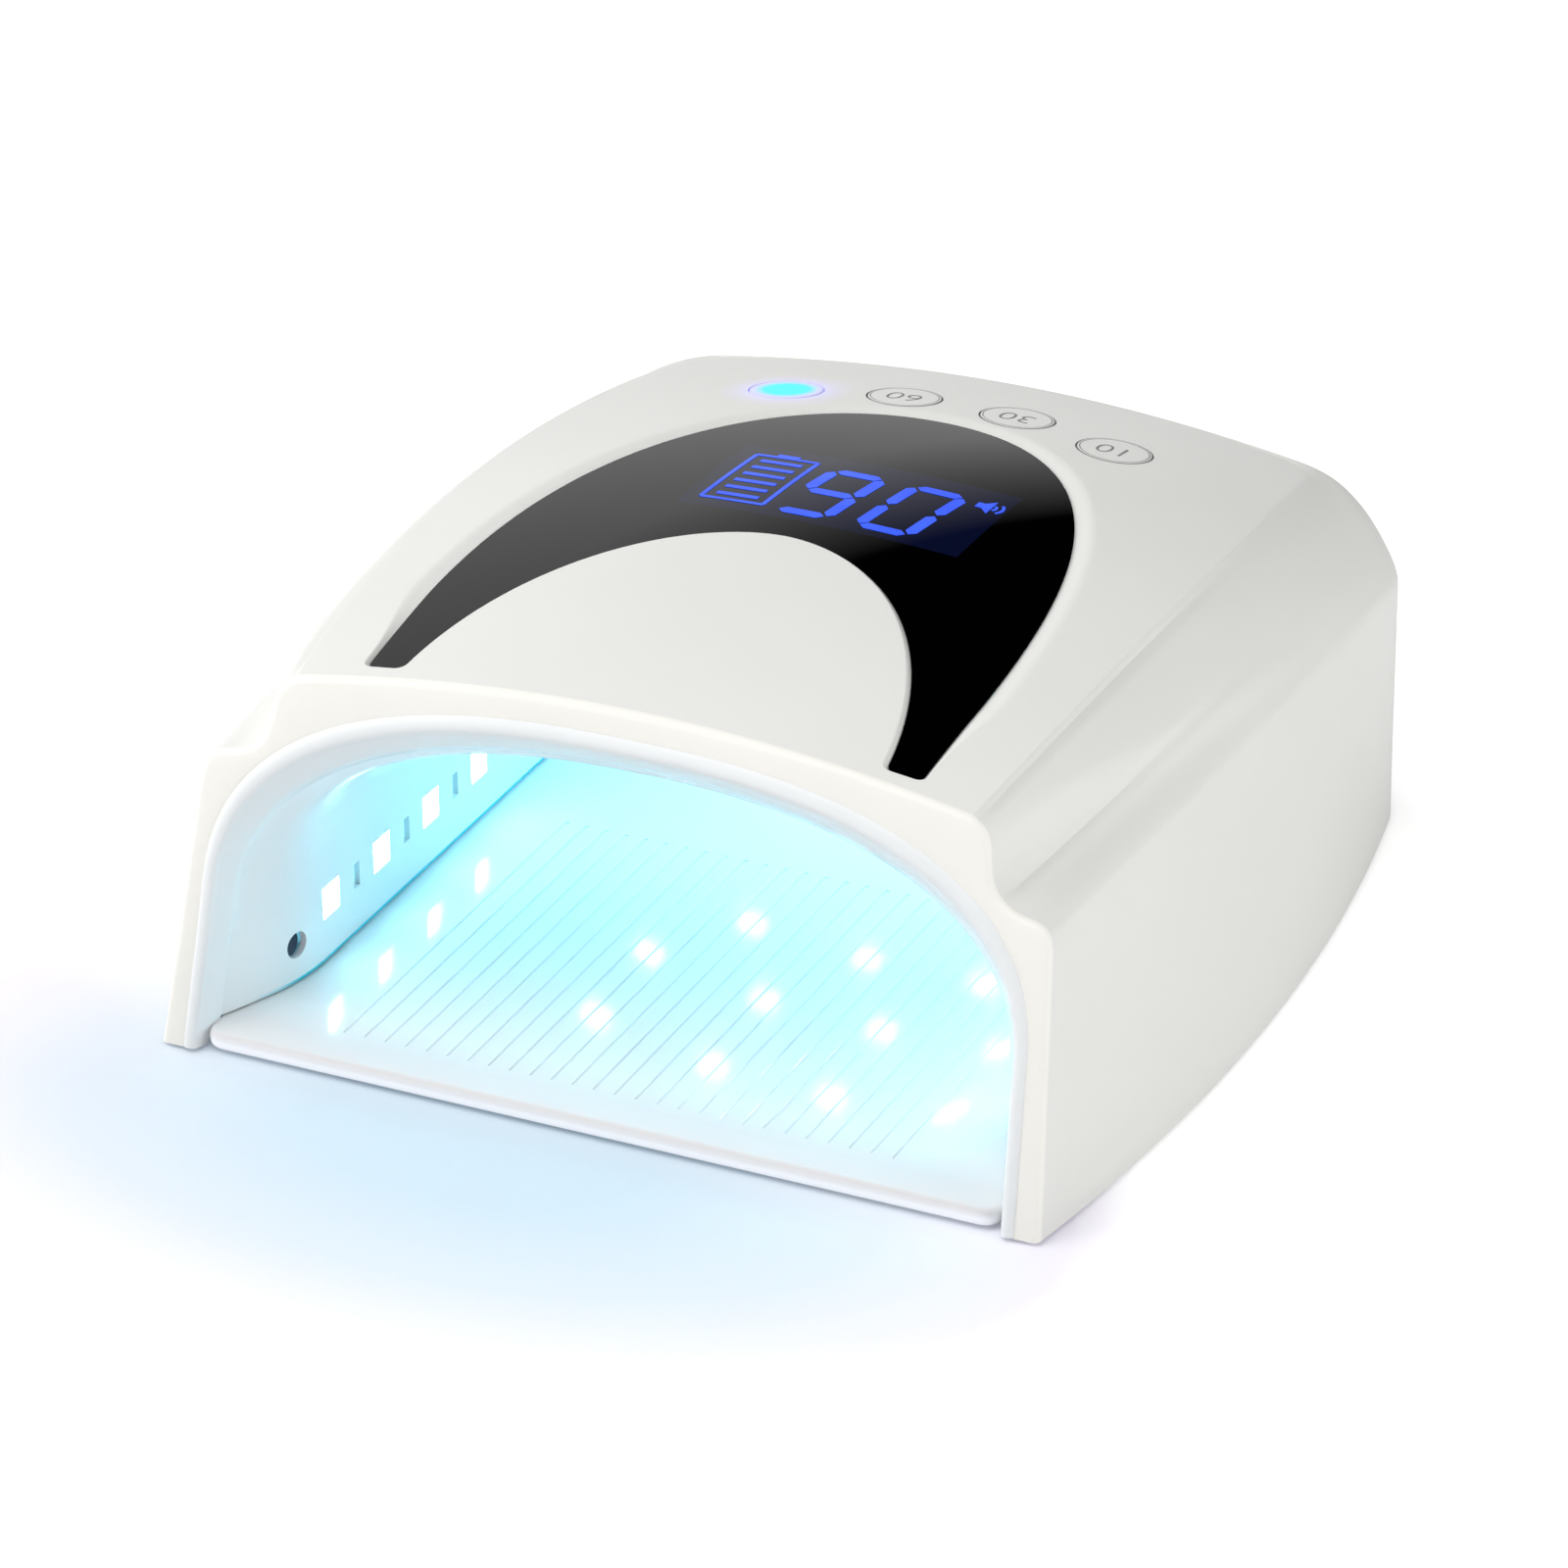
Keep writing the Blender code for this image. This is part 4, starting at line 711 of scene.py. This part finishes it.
for _, x, y in screw_spots:
    carve(flange, rod("recess", (x, y, 0.004), (0, 0, 1), 0.0029, 0.0032))
    carve(flange, rod("bore", (x, y, 0.004), (0, 0, 1), 0.0016, 0.008))
only(reflector, flange)
bpy.ops.object.join()
smooth(reflector, 40)
cool_white = moulded("cool_white_moulding", (0.86, 0.88, 0.89), (0.84, 0.86, 0.87), 0.20, 0.01)
height = cool_white.add("ShaderNodeSeparateXYZ", {}, {"Vector": cool_white.place()}, "Z")
inward = cool_white.add("ShaderNodeSeparateXYZ", {}, {"Vector": cool_white.place()}, "Y")
# Painted light: low on the reflector, deeper in the opening, the walls' foot is painted saturated cyan for the lamps'
# cyan light pooled where walls meet the floor.
foot = (height < 0.0062) * cool_white.ramp((inward - front) * 20.0, (0.32, (0.0, 0.0, 0.0)), (0.60, (1.0, 1.0, 1.0)))
cloud = cool_white.ramp(cool_white.noise(14.0, 3.0), (0.35, (0.84, 0.86, 0.87)), (0.65, (0.86, 0.88, 0.89)))
cool_white.feed("Base Color", cool_white.blend(foot, cloud, (0.05, 0.60, 0.74, 1)))
cool_white.wear(reflector, "liner_white")
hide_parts("reflector_liner")


# Lamp lenses: small square diffusers of milky silicone over each light, set a little back in the
# reflector's windows. They are lit, brighter in their middle.
lit = Finish("lit_diffuser", Base_Color=(0.9, 0.95, 0.97), Roughness=0.35, Emission_Strength=33.0)
spot_light = lit.add("ShaderNodeAttribute", {"attribute_name": "glow"}, {}, "Fac")
lit.feed("Emission Color", lit.ramp(spot_light, (0.0, (0.12, 0.41, 0.55)), (0.6, (0.31, 0.82, 1.0))))


def diffuser(name, place):
    """A rounded square, domed a little; place turns across, along and depth into a point."""
    size, corner = 0.0037, 7.0
    piece = sheet(name, 14, 14, lambda u, v: Vector((u * 2 - 1, v * 2 - 1, 0)))
    glow = piece.data.attributes.new("glow", "FLOAT", "POINT")
    for vert in piece.data.vertices:
        u, v, _ = vert.co
        ring = max(abs(u), abs(v))
        if ring > 0:
            scale = ring / (abs(u) ** corner + abs(v) ** corner) ** (1 / corner)
            u, v = u * scale, v * scale
        glow.data[vert.index].value = 1 - ring ** 3
        vert.co = place(u * size, v * size, 0.0003 * ring ** 4)
    edit(piece, outward)
    apply(piece, "SOLIDIFY", thickness=0.0012, offset=-1.0)
    smooth(piece)
    lit.wear(piece, "light_board")
    return piece


def roof(x, y):
    height = 0.0750 + (y - cavity_start) / (cavity_end - cavity_start) * (0.0555 - 0.0750)
    return 0.0300 + (height - 0.0300) * (1 - min(1, abs(x) / 0.08546) ** 2.3) ** (1 / 2.3)


for side, label in ((-1, "left"), (1, "right")):
    for k, y in enumerate(side_windows):
        diffuser(f"side_lamp_{label}_{k + 1}", lambda a, b, d: Vector((side * (0.0859 + d), y + a, 0.0195 + b)))
for k, (x, y) in enumerate(lamp_spots):
    diffuser(f"ceiling_lamp_{k + 1}", lambda a, b, d: Vector((x + a, y + b, roof(x + a, y + b) + 0.0006 + d)))


# Light boards: the strips that carry the lights, white solder mask over glass fibre, clipped behind
# the reflector's walls and roof.
light_mask = Finish("white_solder_mask", Roughness=0.45)
tracks = light_mask.add("ShaderNodeTexBrick", {}, {"Vector": light_mask.place(), "Scale": 90.0, "Mortar Size": 0.03}, "Fac")
light_mask.feed("Base Color", light_mask.ramp(tracks, (0.0, (0.82, 0.84, 0.83)), (1.0, (0.62, 0.64, 0.60))))
light_mask.dress("light_board_left", "light_board_right", "light_strip_front", "light_strip_middle", "light_strip_rear")


# Hand sensors: small smoked infrared windows near the opening, one on each side wall.
smoked = Finish("smoked_sensor_window", Roughness=0.45)
smoked.feed("Base Color", smoked.ramp(smoked.noise(400.0), (0.3, (0.004, 0.010, 0.035)), (0.7, (0.008, 0.020, 0.06))))
for side, label in ((-1, "left"), (1, "right")):
    eye = rod(f"sensor_eye_{label}", (side * 0.0862, sensor_y, sensor_z), (side, 0, 0), 0.0028, 0.0058)
    apply(eye, "BEVEL", width=0.0003, segments=3, limit_method="ANGLE", angle_limit=math.radians(60))
    smooth(eye)
    smoked.wear(eye, "dark_plastic")
    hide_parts(f"hand_sensor_{label}")


# Base tray: the glossy plate that the hand rests on, with a rounded rim and 27 fine grooves. The
# housing's magnets hold it, and it comes off for cleaning.
tray_front, tray_top = front + 0.0014, 0.0051
side_line = plan(base_line, tray_front + 0.0045, 0.0106)
corner_x = side_line[0][0] - 0.0045
right_corner = [(corner_x + 0.0045 * math.sin(math.pi / 2 * k / 10), tray_front + 0.0045 * (1 - math.cos(math.pi / 2 * k / 10)))
                for k in range(10)]
tray = prism("tray_plate", right_corner + side_line + [(-x, y) for x, y in reversed(right_corner)],
             lambda x, y: floor_z, lambda x, y: tray_top)
apply(tray, "BEVEL", width=0.0016, segments=6, limit_method="ANGLE", angle_limit=math.radians(60))
grooves = []
for k in range(-13, 14):
    groove = block("groove", (-0.0007, front + 0.0133, tray_top - 0.00028), (0.0007, front + 0.1213, tray_top + 0.00025))
    for vert in groove.data.vertices:
        vert.co.x = k * 0.005 + vert.co.x * (0.5 if vert.co.z < tray_top else 1)
    grooves.append(groove)
only(*grooves)
bpy.ops.object.join()
carve(tray, grooves[0])
magnet_spots = [("front", 0.3257), ("rear", 0.6513)]
feet = [("front", front + 0.0220), ("rear", rear - 0.0273)]
foot_spots = [(f"foot_{row}_{label}", side * (base_line.side.x + math.sqrt(0.560 ** 2 - (y - base_line.side.y) ** 2) - 0.0268), y)
              for row, y in feet for side, label in ((-1, "left"), (1, "right"))]
pockets = [rod("magnet_pocket", (side * 0.09206, front + share * 0.2303, tray_top - 0.0026), (0, 0, 1), 0.0043, 0.004)
           for _, share in magnet_spots for side in (-1, 1)]
pockets += [rod("foot_pocket", (x, y, -0.002), (0, 0, 1), 0.0063, 0.0041) for _, x, y in foot_spots]
only(*pockets)
bpy.ops.object.join()
carve(tray, pockets[0])
smooth(tray, 30)
tray_white = moulded("glossy_tray_moulding", (0.84, 0.86, 0.87), (0.82, 0.84, 0.85), 0.07, 0.004)
inward = tray_white.add("ShaderNodeSeparateXYZ", {}, {"Vector": tray_white.place()}, "Y")
cloud = tray_white.ramp(tray_white.noise(14.0, 3.0), (0.35, (0.82, 0.84, 0.85)), (0.65, (0.84, 0.86, 0.87)))
# Painted shade: the tray's front band by the rim is painted a darker, less cool grey than the rest of the tray.
near = tray_white.ramp((inward - front) * 30.0, (0.30, (1.0, 1.0, 1.0)), (0.62, (0.0, 0.0, 0.0)))
tray_white.feed("Base Color", tray_white.blend(near, cloud, (0.76, 0.745, 0.75, 1)))
height = tray_white.add("ShaderNodeSeparateXYZ", {}, {"Vector": tray_white.place()}, "Z")
# Painted light: the lower part of the rim's front face is given a cool grey emission, so it glows as if lit from the
# front.
painted_light_front = tray_white.ramp((inward - front) * 100.0, (0.20, (1.0, 1.0, 1.0)), (0.36, (0.0, 0.0, 0.0)))
painted_light_low = tray_white.ramp((tray_top - height) * 300.0, (0.15, (0.0, 0.0, 0.0)), (0.70, (1.0, 1.0, 1.0)))
tray_white.feed("Emission Color", tray_white.blend(painted_light_front * painted_light_low, (0, 0, 0, 1), (0.30, 0.33, 0.38, 1)))
tray_white.feed("Emission Strength", 1.0)
tray_white.wear(tray, "shell_white", "tray")
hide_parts("base_tray")


# Feet: round rubber pads pressed into pockets below the tray.
rubber = Finish("soft_rubber", Roughness=0.85)
rubber.feed("Base Color", rubber.ramp(rubber.noise(500.0, 4.0), (0.3, (0.05, 0.05, 0.052)), (0.7, (0.075, 0.075, 0.078))))
rubber.bump(rubber.noise(1500.0), 0.3, 0.0002)
for name, x, y in foot_spots:
    pad = rod(name.replace("foot", "pad"), (x, y, 0), (0, 0, 1), 0.0060, 0.0018, 64)
    apply(pad, "BEVEL", width=0.0005, segments=4, limit_method="ANGLE", angle_limit=math.radians(60))
    smooth(pad)
    rubber.wear(pad, "rubber", "tray")
    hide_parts(name)


# Magnets and screws: plated steel. The screws are pan heads with a cross recess, driven from below.
steel = Finish("plated_steel", Metallic=1.0, Base_Color=(0.72, 0.72, 0.70))
steel.feed("Roughness", steel.noise(900.0, 4.0) * 0.15 + 0.2)
steel.dress(*(f"{part}_magnet_{row}_{label}" for part in ("tray", "housing") for row in ("front", "rear")
              for label in ("left", "right")))
pan = rod("pan_screw", (0, 0, 0), (0, 0, 1), 0.0026, 0.0014)
apply(pan, "BEVEL", width=0.0006, segments=4, limit_method="ANGLE", angle_limit=math.radians(60))
for low, high in (((-0.0014, -0.0003, -0.001), (0.0014, 0.0003, 0.0009)), ((-0.0003, -0.0014, -0.001), (0.0003, 0.0014, 0.0009))):
    carve(pan, block("recess", low, high))
shank = rod("shank", (0, 0, 0.0012), (0, 0, 1), 0.0013, 0.0112)
only(pan, shank)
bpy.ops.object.join()
smooth(pan)
for n, (label, x, y) in enumerate(screw_spots):
    row = ("front", "middle", "rear")[n // 2]
    screw = pan.copy()
    screw.data = pan.data.copy()
    screw.name = screw.data.name = f"pan_screw_{row}_{label}"
    bpy.context.scene.collection.objects.link(screw)
    screw.data.transform(Matrix.Translation((x, y, 0.0055)))
    steel.wear(screw, "plated_steel")
    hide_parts(f"screw_{row}_{label}")
bpy.data.objects.remove(pan)


# Display window: a glossy tinted acrylic crescent let into the crown. The panel below it shows as a
# faint navy rectangle.
def window_place(u, v):
    k = round(u * (ends - 1))
    spot = Vector(arc[k]).lerp(Vector(back[len(back) - 1 - k]), v)
    return Vector((spot.x, spot.y, crown(*spot) - 0.0008))


window = sheet("display_window", ends - 1, 24, window_place)
edit(window, merge_seams, outward)
apply(window, "SOLIDIFY", thickness=0.0003, offset=-1.0)
smooth(window)
tinted = Finish("tinted_acrylic", Roughness=0.03, IOR=1.49)
spot = tinted.add("ShaderNodeSeparateXYZ", {}, {"Vector": tinted.place()})
across = Value(tinted.tree, spot.socket.node.outputs[0])
along = Value(tinted.tree, spot.socket.node.outputs[1])
panel = (across > -0.0310) * (across < 0.0362) * (along > -0.0072) * (along < 0.0292)
speckle = tinted.noise(300.0, 2.0) * 0.1 + 0.95
tinted.feed("Base Color", tinted.blend(panel * speckle, (0.0003, 0.0003, 0.0004, 1), (0.002, 0.003, 0.014, 1)))
tinted.feed("Emission Color", tinted.blend(panel * speckle, (0, 0, 0, 1), (0.0008, 0.0014, 0.009, 1)))
tinted.feed("Emission Strength", 1.0)
tinted.wear(window, "window_black")
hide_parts("display_lens")


# Display marks: the lit blue shapes of the panel: a battery, two digits and a small speaker, drawn as
# thin films just under the window's surface.
def film(outline):
    """A thin film over a plan outline given in millimetres."""
    points = [(x / 1000, y / 1000) for x, y in outline]
    return prism("film", points, lambda x, y: 0.0, lambda x, y: 0.00008)


def bar(ax, ay, bx, by, width, taper=0.5):
    """A bar with pointed ends."""
    a, b = Vector((ax, ay)), Vector((bx, by))
    along = (b - a).normalized()
    side = Vector((-along.y, along.x)) * width / 2
    inset = along * width * taper
    return film([tuple(p) for p in (a, a + inset - side, b - inset - side, b, b - inset + side, a + inset + side)])


def digit(left, low, segments):
    """Seven bars of a slanted digit, of which the named ones are lit."""
    w, h, gap = 11.6, 12.2, 0.45
    places = {"bottom": (0, 0, w, 0), "middle": (0, h, w, h), "top": (0, 2 * h, w, 2 * h), "left_low": (0, 0, 0, h),
              "left_high": (0, h, 0, 2 * h), "right_low": (w, 0, w, h), "right_high": (w, h, w, 2 * h)}
    lit_bars = []
    for key in segments:
        ax, ay, bx, by = places[key]
        step = Vector((bx - ax, by - ay)).normalized() * gap
        ax, ay, bx, by = ax + step.x, ay + step.y, bx - step.x, by - step.y
        lit_bars.append(bar(left + ax + 0.12 * ay, low + ay, left + bx + 0.12 * by, low + by, 2.8))
    return lit_bars


marks = digit(-8.5, -3.0, ("bottom", "middle", "top", "left_high", "right_low", "right_high"))
marks += digit(10.9, -3.0, ("bottom", "top", "left_low", "left_high", "right_low", "right_high"))
corners = ((-27.2, -2.6), (-12.2, -2.6), (-11.0, 24.1), (-26.0, 24.1))
marks += [bar(*corners[k - 1], *corners[k], 1.0, 0.0) for k in range(4)]
marks.append(bar(-21.3, 25.0, -16.0, 25.0, 1.6, 0.0))
marks += [bar(-24.6 + 0.05 * y, y, -14.6 + 0.05 * y, y, 1.5, 0.0) for y in (0.3, 4.4, 8.5, 12.6, 16.7, 20.8)]
marks.append(film(((29.0, 18.8), (30.6, 18.8), (32.6, 16.6), (32.6, 23.6), (30.6, 21.4), (29.0, 21.4))))
for radius in (2.3, 3.9):
    turns = [math.radians(-40 + 10 * k) for k in range(9)]
    ring = [(31.6 + radius * math.cos(a), 20.1 + radius * math.sin(a)) for a in turns]
    ring += [(31.6 + (radius - 0.7) * math.cos(a), 20.1 + (radius - 0.7) * math.sin(a)) for a in reversed(turns)]
    marks.append(film(ring))
only(*marks)
bpy.ops.object.join()
display_marks = marks[0]
display_marks.name = display_marks.data.name = "display_marks"
edit(display_marks, bpy.ops.mesh.quads_convert_to_tris, lambda: bpy.ops.mesh.subdivide(number_cuts=5))
for vert in display_marks.data.vertices:
    vert.co.z += crown(vert.co.x, vert.co.y) - 0.00078
blue = Finish("lit_blue_mark", Base_Color=(0.01, 0.02, 0.2), Roughness=0.3, Emission_Strength=1.0)
blue.feed("Emission Color", blue.ramp(blue.noise(120.0), (0.3, (0.020, 0.080, 0.80)), (0.7, (0.035, 0.115, 0.90))))
blue.wear(display_marks, "window_black")


# Keys: four round caps of the housing's plastic, flush with the crown, each with a collar below it
# and a stem on its switch. Three bear a printed number that reads from the rear; the fourth is lit.
def key_cap(name):
    x0, from_rear = key_spots[name]
    y0 = rear - from_rear
    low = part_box(name)[0][2]
    profile = [(0.0001, 0.0001), (0.003, 0.0001), (0.006, 0.0001), (0.0074, 0.0001), (0.0078, 0.0001), (0.0080, 0.0001)]
    profile += [(0.0082 + 0.0004 * math.sin(a), 0.0001 - 0.0004 * (1 - math.cos(a))) for a in (0.0, 0.4, 0.8, 1.2, 1.57)]
    profile += [(0.0086, -0.0024), (0.0096, -0.0025), (0.0096, -0.0035), (0.0016, -0.0036), (0.0016, None), (0.0001, None)]

    def place(u, v):
        radius, height = profile[round(v * (len(profile) - 1))]
        x = x0 + radius * math.cos(2 * math.pi * u)
        y = y0 + 0.98401 * radius * math.sin(2 * math.pi * u)
        return Vector((x, y, low if height is None else crown(x, y) + height))

    cap = sheet(name + "_cap", 72, len(profile) - 1, place)
    distance = cap.data.attributes.new("distance", "FLOAT", "POINT")
    for vert in cap.data.vertices:
        distance.data[vert.index].value = math.hypot(vert.co.x - x0, (vert.co.y - y0) / 0.98401) * 1000
    edit(cap, merge_seams, close_holes, outward)
    smooth(cap, 50)
    return cap


printed = Finish("grey_print", Roughness=0.55)
printed.feed("Base Color", printed.ramp(printed.noise(900.0), (0.3, (0.20, 0.20, 0.20)), (0.7, (0.27, 0.27, 0.265))))
key_white = moulded("key_moulding", (0.82, 0.82, 0.795), (0.80, 0.80, 0.775), 0.30)
from_middle = key_white.add("ShaderNodeAttribute", {"attribute_name": "distance"}, {}, "Fac")
# Painted shade: a thin ring just inside each cap's edge, and the cap's rounded rim and sides, are painted dark grey for
# the shade of the gap round the key.
painted_gap_shade = (from_middle > 7.75) * (from_middle < 8.05) + (from_middle > 8.40)
key_white.feed("Base Color", key_white.blend(painted_gap_shade, (0.81, 0.81, 0.785, 1), (0.22, 0.22, 0.22, 1)))
for name in ("key_60", "key_30", "key_10"):
    cap = key_cap(name)
    key_white.wear(cap, "shell_white", name)
    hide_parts(name)
    bpy.ops.object.select_all(action="DESELECT")
    bpy.ops.object.text_add()
    label = bpy.context.object
    label.data.body = name[4:]
    label.data.size = 0.0088
    label.data.align_x = label.data.align_y = "CENTER"
    label.data.offset = -0.00012
    only(label)
    bpy.ops.object.convert(target="MESH")
    label = bpy.context.object
    label.name = label.data.name = name + "_number"
    edit(label, lambda: bpy.ops.mesh.remove_doubles(threshold=1e-6),
         lambda: bpy.ops.mesh.extrude_region_move(TRANSFORM_OT_translate={"value": (0, 0, 0.00004)}), outward)
    for vert in label.data.vertices:
        x, y = key_spots[name][0] - vert.co.x, rear - key_spots[name][1] - vert.co.y
        vert.co = (x, y, crown(x, y) + 0.00009 + vert.co.z)
    printed.wear(label, None, name)

glowing = Finish("lit_key", Roughness=0.3, Emission_Strength=1.0)
key_x, key_y = key_spots["key_99"][0], rear - key_spots["key_99"][1]
offset = glowing.add("ShaderNodeVectorMath", {"operation": "SUBTRACT"}, {0: glowing.place(), 1: (key_x, key_y, crown(key_x, key_y))})
away = glowing.add("ShaderNodeVectorMath", {"operation": "LENGTH"}, {0: offset}, "Value") / 0.0086
glowing.feed("Base Color", glowing.ramp(away, (0.6, (0.02, 0.25, 0.35)), (0.9, (0.55, 0.55, 0.62))))
glowing.feed("Emission Color", glowing.ramp(away, (0.45, (0.0, 0.72, 1.0)), (0.62, (0.02, 0.60, 0.95)), (0.86, (0.25, 0.28, 0.62)), (1.0, (0.10, 0.10, 0.30))))
cap = key_cap("key_99")
glowing.wear(cap, "shell_white", "key_99")
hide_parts("key_99")
# Painted light: round the lit key the housing's own moulding is given a blue emission that fades outwards, a painted
# glow of the key's light on the crown.
halo_offset = warm_white.add("ShaderNodeVectorMath", {"operation": "SUBTRACT"}, {0: warm_white.place(), 1: (key_x, key_y, crown(key_x, key_y))})
halo = warm_white.add("ShaderNodeVectorMath", {"operation": "LENGTH"}, {0: halo_offset}, "Value") / 0.016
warm_white.feed("Emission Color", warm_white.ramp(halo, (0.5, (0.06, 0.05, 0.35)), (0.72, (0.02, 0.015, 0.10)), (1.0, (0, 0, 0))))
warm_white.feed("Emission Strength", 1.0)


# Rear parts: the round charging socket behind its hole, and the snap-in rocker switch, all in black
# glass-filled plastic with slightly broken edges.
dark = Finish("dark_plastic", Roughness=0.4)
dark.feed("Base Color", dark.ramp(dark.noise(300.0, 3.0), (0.3, (0.016, 0.016, 0.017)), (0.7, (0.026, 0.026, 0.027))))
dark.bump(dark.noise(2200.0), 0.15, 0.0001)


def softened(name, width):
    """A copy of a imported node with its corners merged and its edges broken."""
    piece = node[name].copy()
    piece.data = node[name].data.copy()
    piece.name = piece.data.name = name + "_moulding"
    bpy.context.scene.collection.objects.link(piece)
    piece.data.transform(node[name].matrix_world)
    piece.parent = None
    piece.matrix_world = Matrix.Identity(4)
    edit(piece, lambda: bpy.ops.mesh.remove_doubles(threshold=1e-5), lambda: bpy.ops.mesh.dissolve_limited(angle_limit=0.02))
    apply(piece, "BEVEL", width=width, segments=3, limit_method="ANGLE", angle_limit=math.radians(40))
    smooth(piece)
    return piece


for name, width, body in (("rocker_body", 0.0003, "housing"), ("rocker", 0.0003, "rocker"), ("charging_socket", 0.0002, "housing")):
    piece = softened(name, width)
    dark.wear(piece, "dark_plastic", body)
    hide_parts(name)
dark.dress("battery_cradle", "switch_99", "switch_60", "switch_30", "switch_10")


# Inside: the battery's wrapped cells, and the two green circuit boards.
wrap = Finish("cell_wrap", Roughness=0.35)
wrap.feed("Base Color", wrap.ramp(wrap.noise(60.0), (0.3, (0.05, 0.20, 0.42)), (0.7, (0.06, 0.24, 0.48))))
wrap.dress(*(f"battery_cell_{row}_{label}" for row in ("front", "rear") for label in ("left", "right")))
green = Finish("circuit_board", Roughness=0.4)
lines = green.add("ShaderNodeTexBrick", {}, {"Vector": green.place(), "Scale": 160.0, "Mortar Size": 0.04}, "Fac")
green.feed("Base Color", green.ramp(lines, (0.0, (0.01, 0.12, 0.05)), (1.0, (0.03, 0.22, 0.09))))
green.dress("display_board", "control_board")


# Studio: a white table with a soft cool glow before the opening, a low bright surround, and large
# soft lamps above. The lamps inside the cavity stand for the light of the lit diffusers.
bpy.ops.object.select_all(action="DESELECT")
bpy.ops.mesh.primitive_plane_add(size=8)
table = bpy.context.object
table.name = table.data.name = "table"
paper = Finish("white_table", Roughness=0.6)
paper.shader.inputs["Specular IOR Level"].default_value = 0.2
# Painted light: the cool glow before the opening is painted into the table's colour and its camera-seen emission. It is
# bluest and darkest nearest the opening, lavender further out.
reach_y = paper.add("ShaderNodeVectorMath", {"operation": "SUBTRACT"}, {0: paper.place(), 1: (-0.022, front - 0.010, 0)})
pool = paper.add("ShaderNodeVectorMath", {"operation": "MULTIPLY"}, {0: reach_y, 1: (6.4, 11.0, 1.0)})
glow = paper.add("ShaderNodeVectorMath", {"operation": "LENGTH"}, {0: pool}, "Value")
paper.feed("Base Color", paper.ramp(glow, (0.25, (0.50, 0.56, 0.60)), (0.60, (0.58, 0.61, 0.64)), (0.85, (0.72, 0.70, 0.74)), (1.0, (0.90, 0.90, 0.90))))
paper.feed("Emission Color", paper.ramp(glow, (0.25, (0.14, 0.19, 0.24)), (0.60, (0.20, 0.23, 0.28)), (0.85, (0.26, 0.25, 0.30)), (1.0, (0.50, 0.50, 0.50))))
seen = paper.add("ShaderNodeLightPath", {}, {}, "Is Camera Ray")
paper.feed("Emission Strength", seen)
table.data.materials.append(paper.material)


def lamp(name, place, aim, size, power, colour=(1, 1, 1), glossy=False):
    """A soft rectangular lamp."""
    light = bpy.data.lights.new(name, "AREA")
    light.shape = "RECTANGLE"
    light.size, light.size_y = size
    light.energy, light.color = power, colour
    piece = bpy.data.objects.new(name, light)
    piece.matrix_world = Matrix.Translation(place) @ (Vector(aim) - Vector(place)).to_track_quat("-Z", "Y").to_matrix().to_4x4()
    piece.visible_camera = False
    piece.visible_glossy = glossy
    bpy.context.scene.collection.objects.link(piece)


lamp("overhead_lamp", (-0.2, -0.5, 1.8), (0, 0, 0.05), (1.6, 1.6), 21)
lamp("front_left_lamp", (-1.2, -1.0, 1.0), (0, 0, 0.05), (1.0, 1.0), 8)
lamp("left_lamp", (-1.6, 0.3, 0.9), (0, 0, 0.05), (1.2, 1.0), 10)
lamp("low_front_lamp", (-0.3, -2.0, 0.30), (0, 0, 0.02), (1.2, 0.6), 5)
lamp("right_lamp", (1.8, -0.1, 0.5), (0, 0, 0.05), (1.2, 1.0), 20)
lamp("cavity_ceiling_lamp", (0, 0.010, 0.058), (0, 0.010, 0), (0.10, 0.09), 0.012, (0.40, 0.90, 1.0))
lamp("cavity_left_lamp", (-0.083, -0.036, 0.0195), (0, -0.036, 0.015), (0.09, 0.009), 0.001, (0.40, 0.90, 1.0))
lamp("cavity_right_lamp", (0.083, -0.036, 0.0195), (0, -0.036, 0.015), (0.09, 0.009), 0.001, (0.40, 0.90, 1.0))

world = bpy.data.worlds.new("studio")
world.use_nodes = True
bpy.context.scene.world = world
sky = world.node_tree
way = Value(sky, sky.nodes.new("ShaderNodeTexCoord").outputs["Generated"])
leftward = sky.nodes.new("ShaderNodeVectorMath")
leftward.operation = "DOT_PRODUCT"
sky.links.new(way.socket, leftward.inputs[0])
leftward.inputs[1].default_value = (-1.0, 0.0, -0.5)
band_ramp = sky.nodes.new("ShaderNodeValToRGB")
sky.links.new(leftward.outputs["Value"], band_ramp.inputs["Fac"])
band_ramp.color_ramp.elements[0].position, band_ramp.color_ramp.elements[0].color = 0.09, (0.001, 0.001, 0.001, 1)
band_ramp.color_ramp.elements[1].position, band_ramp.color_ramp.elements[1].color = 0.26, (0.72, 0.72, 0.72, 1)
sky.links.new(band_ramp.outputs[0], sky.nodes["Background"].inputs["Color"])
bpy.context.scene.view_settings.view_transform = "Standard"
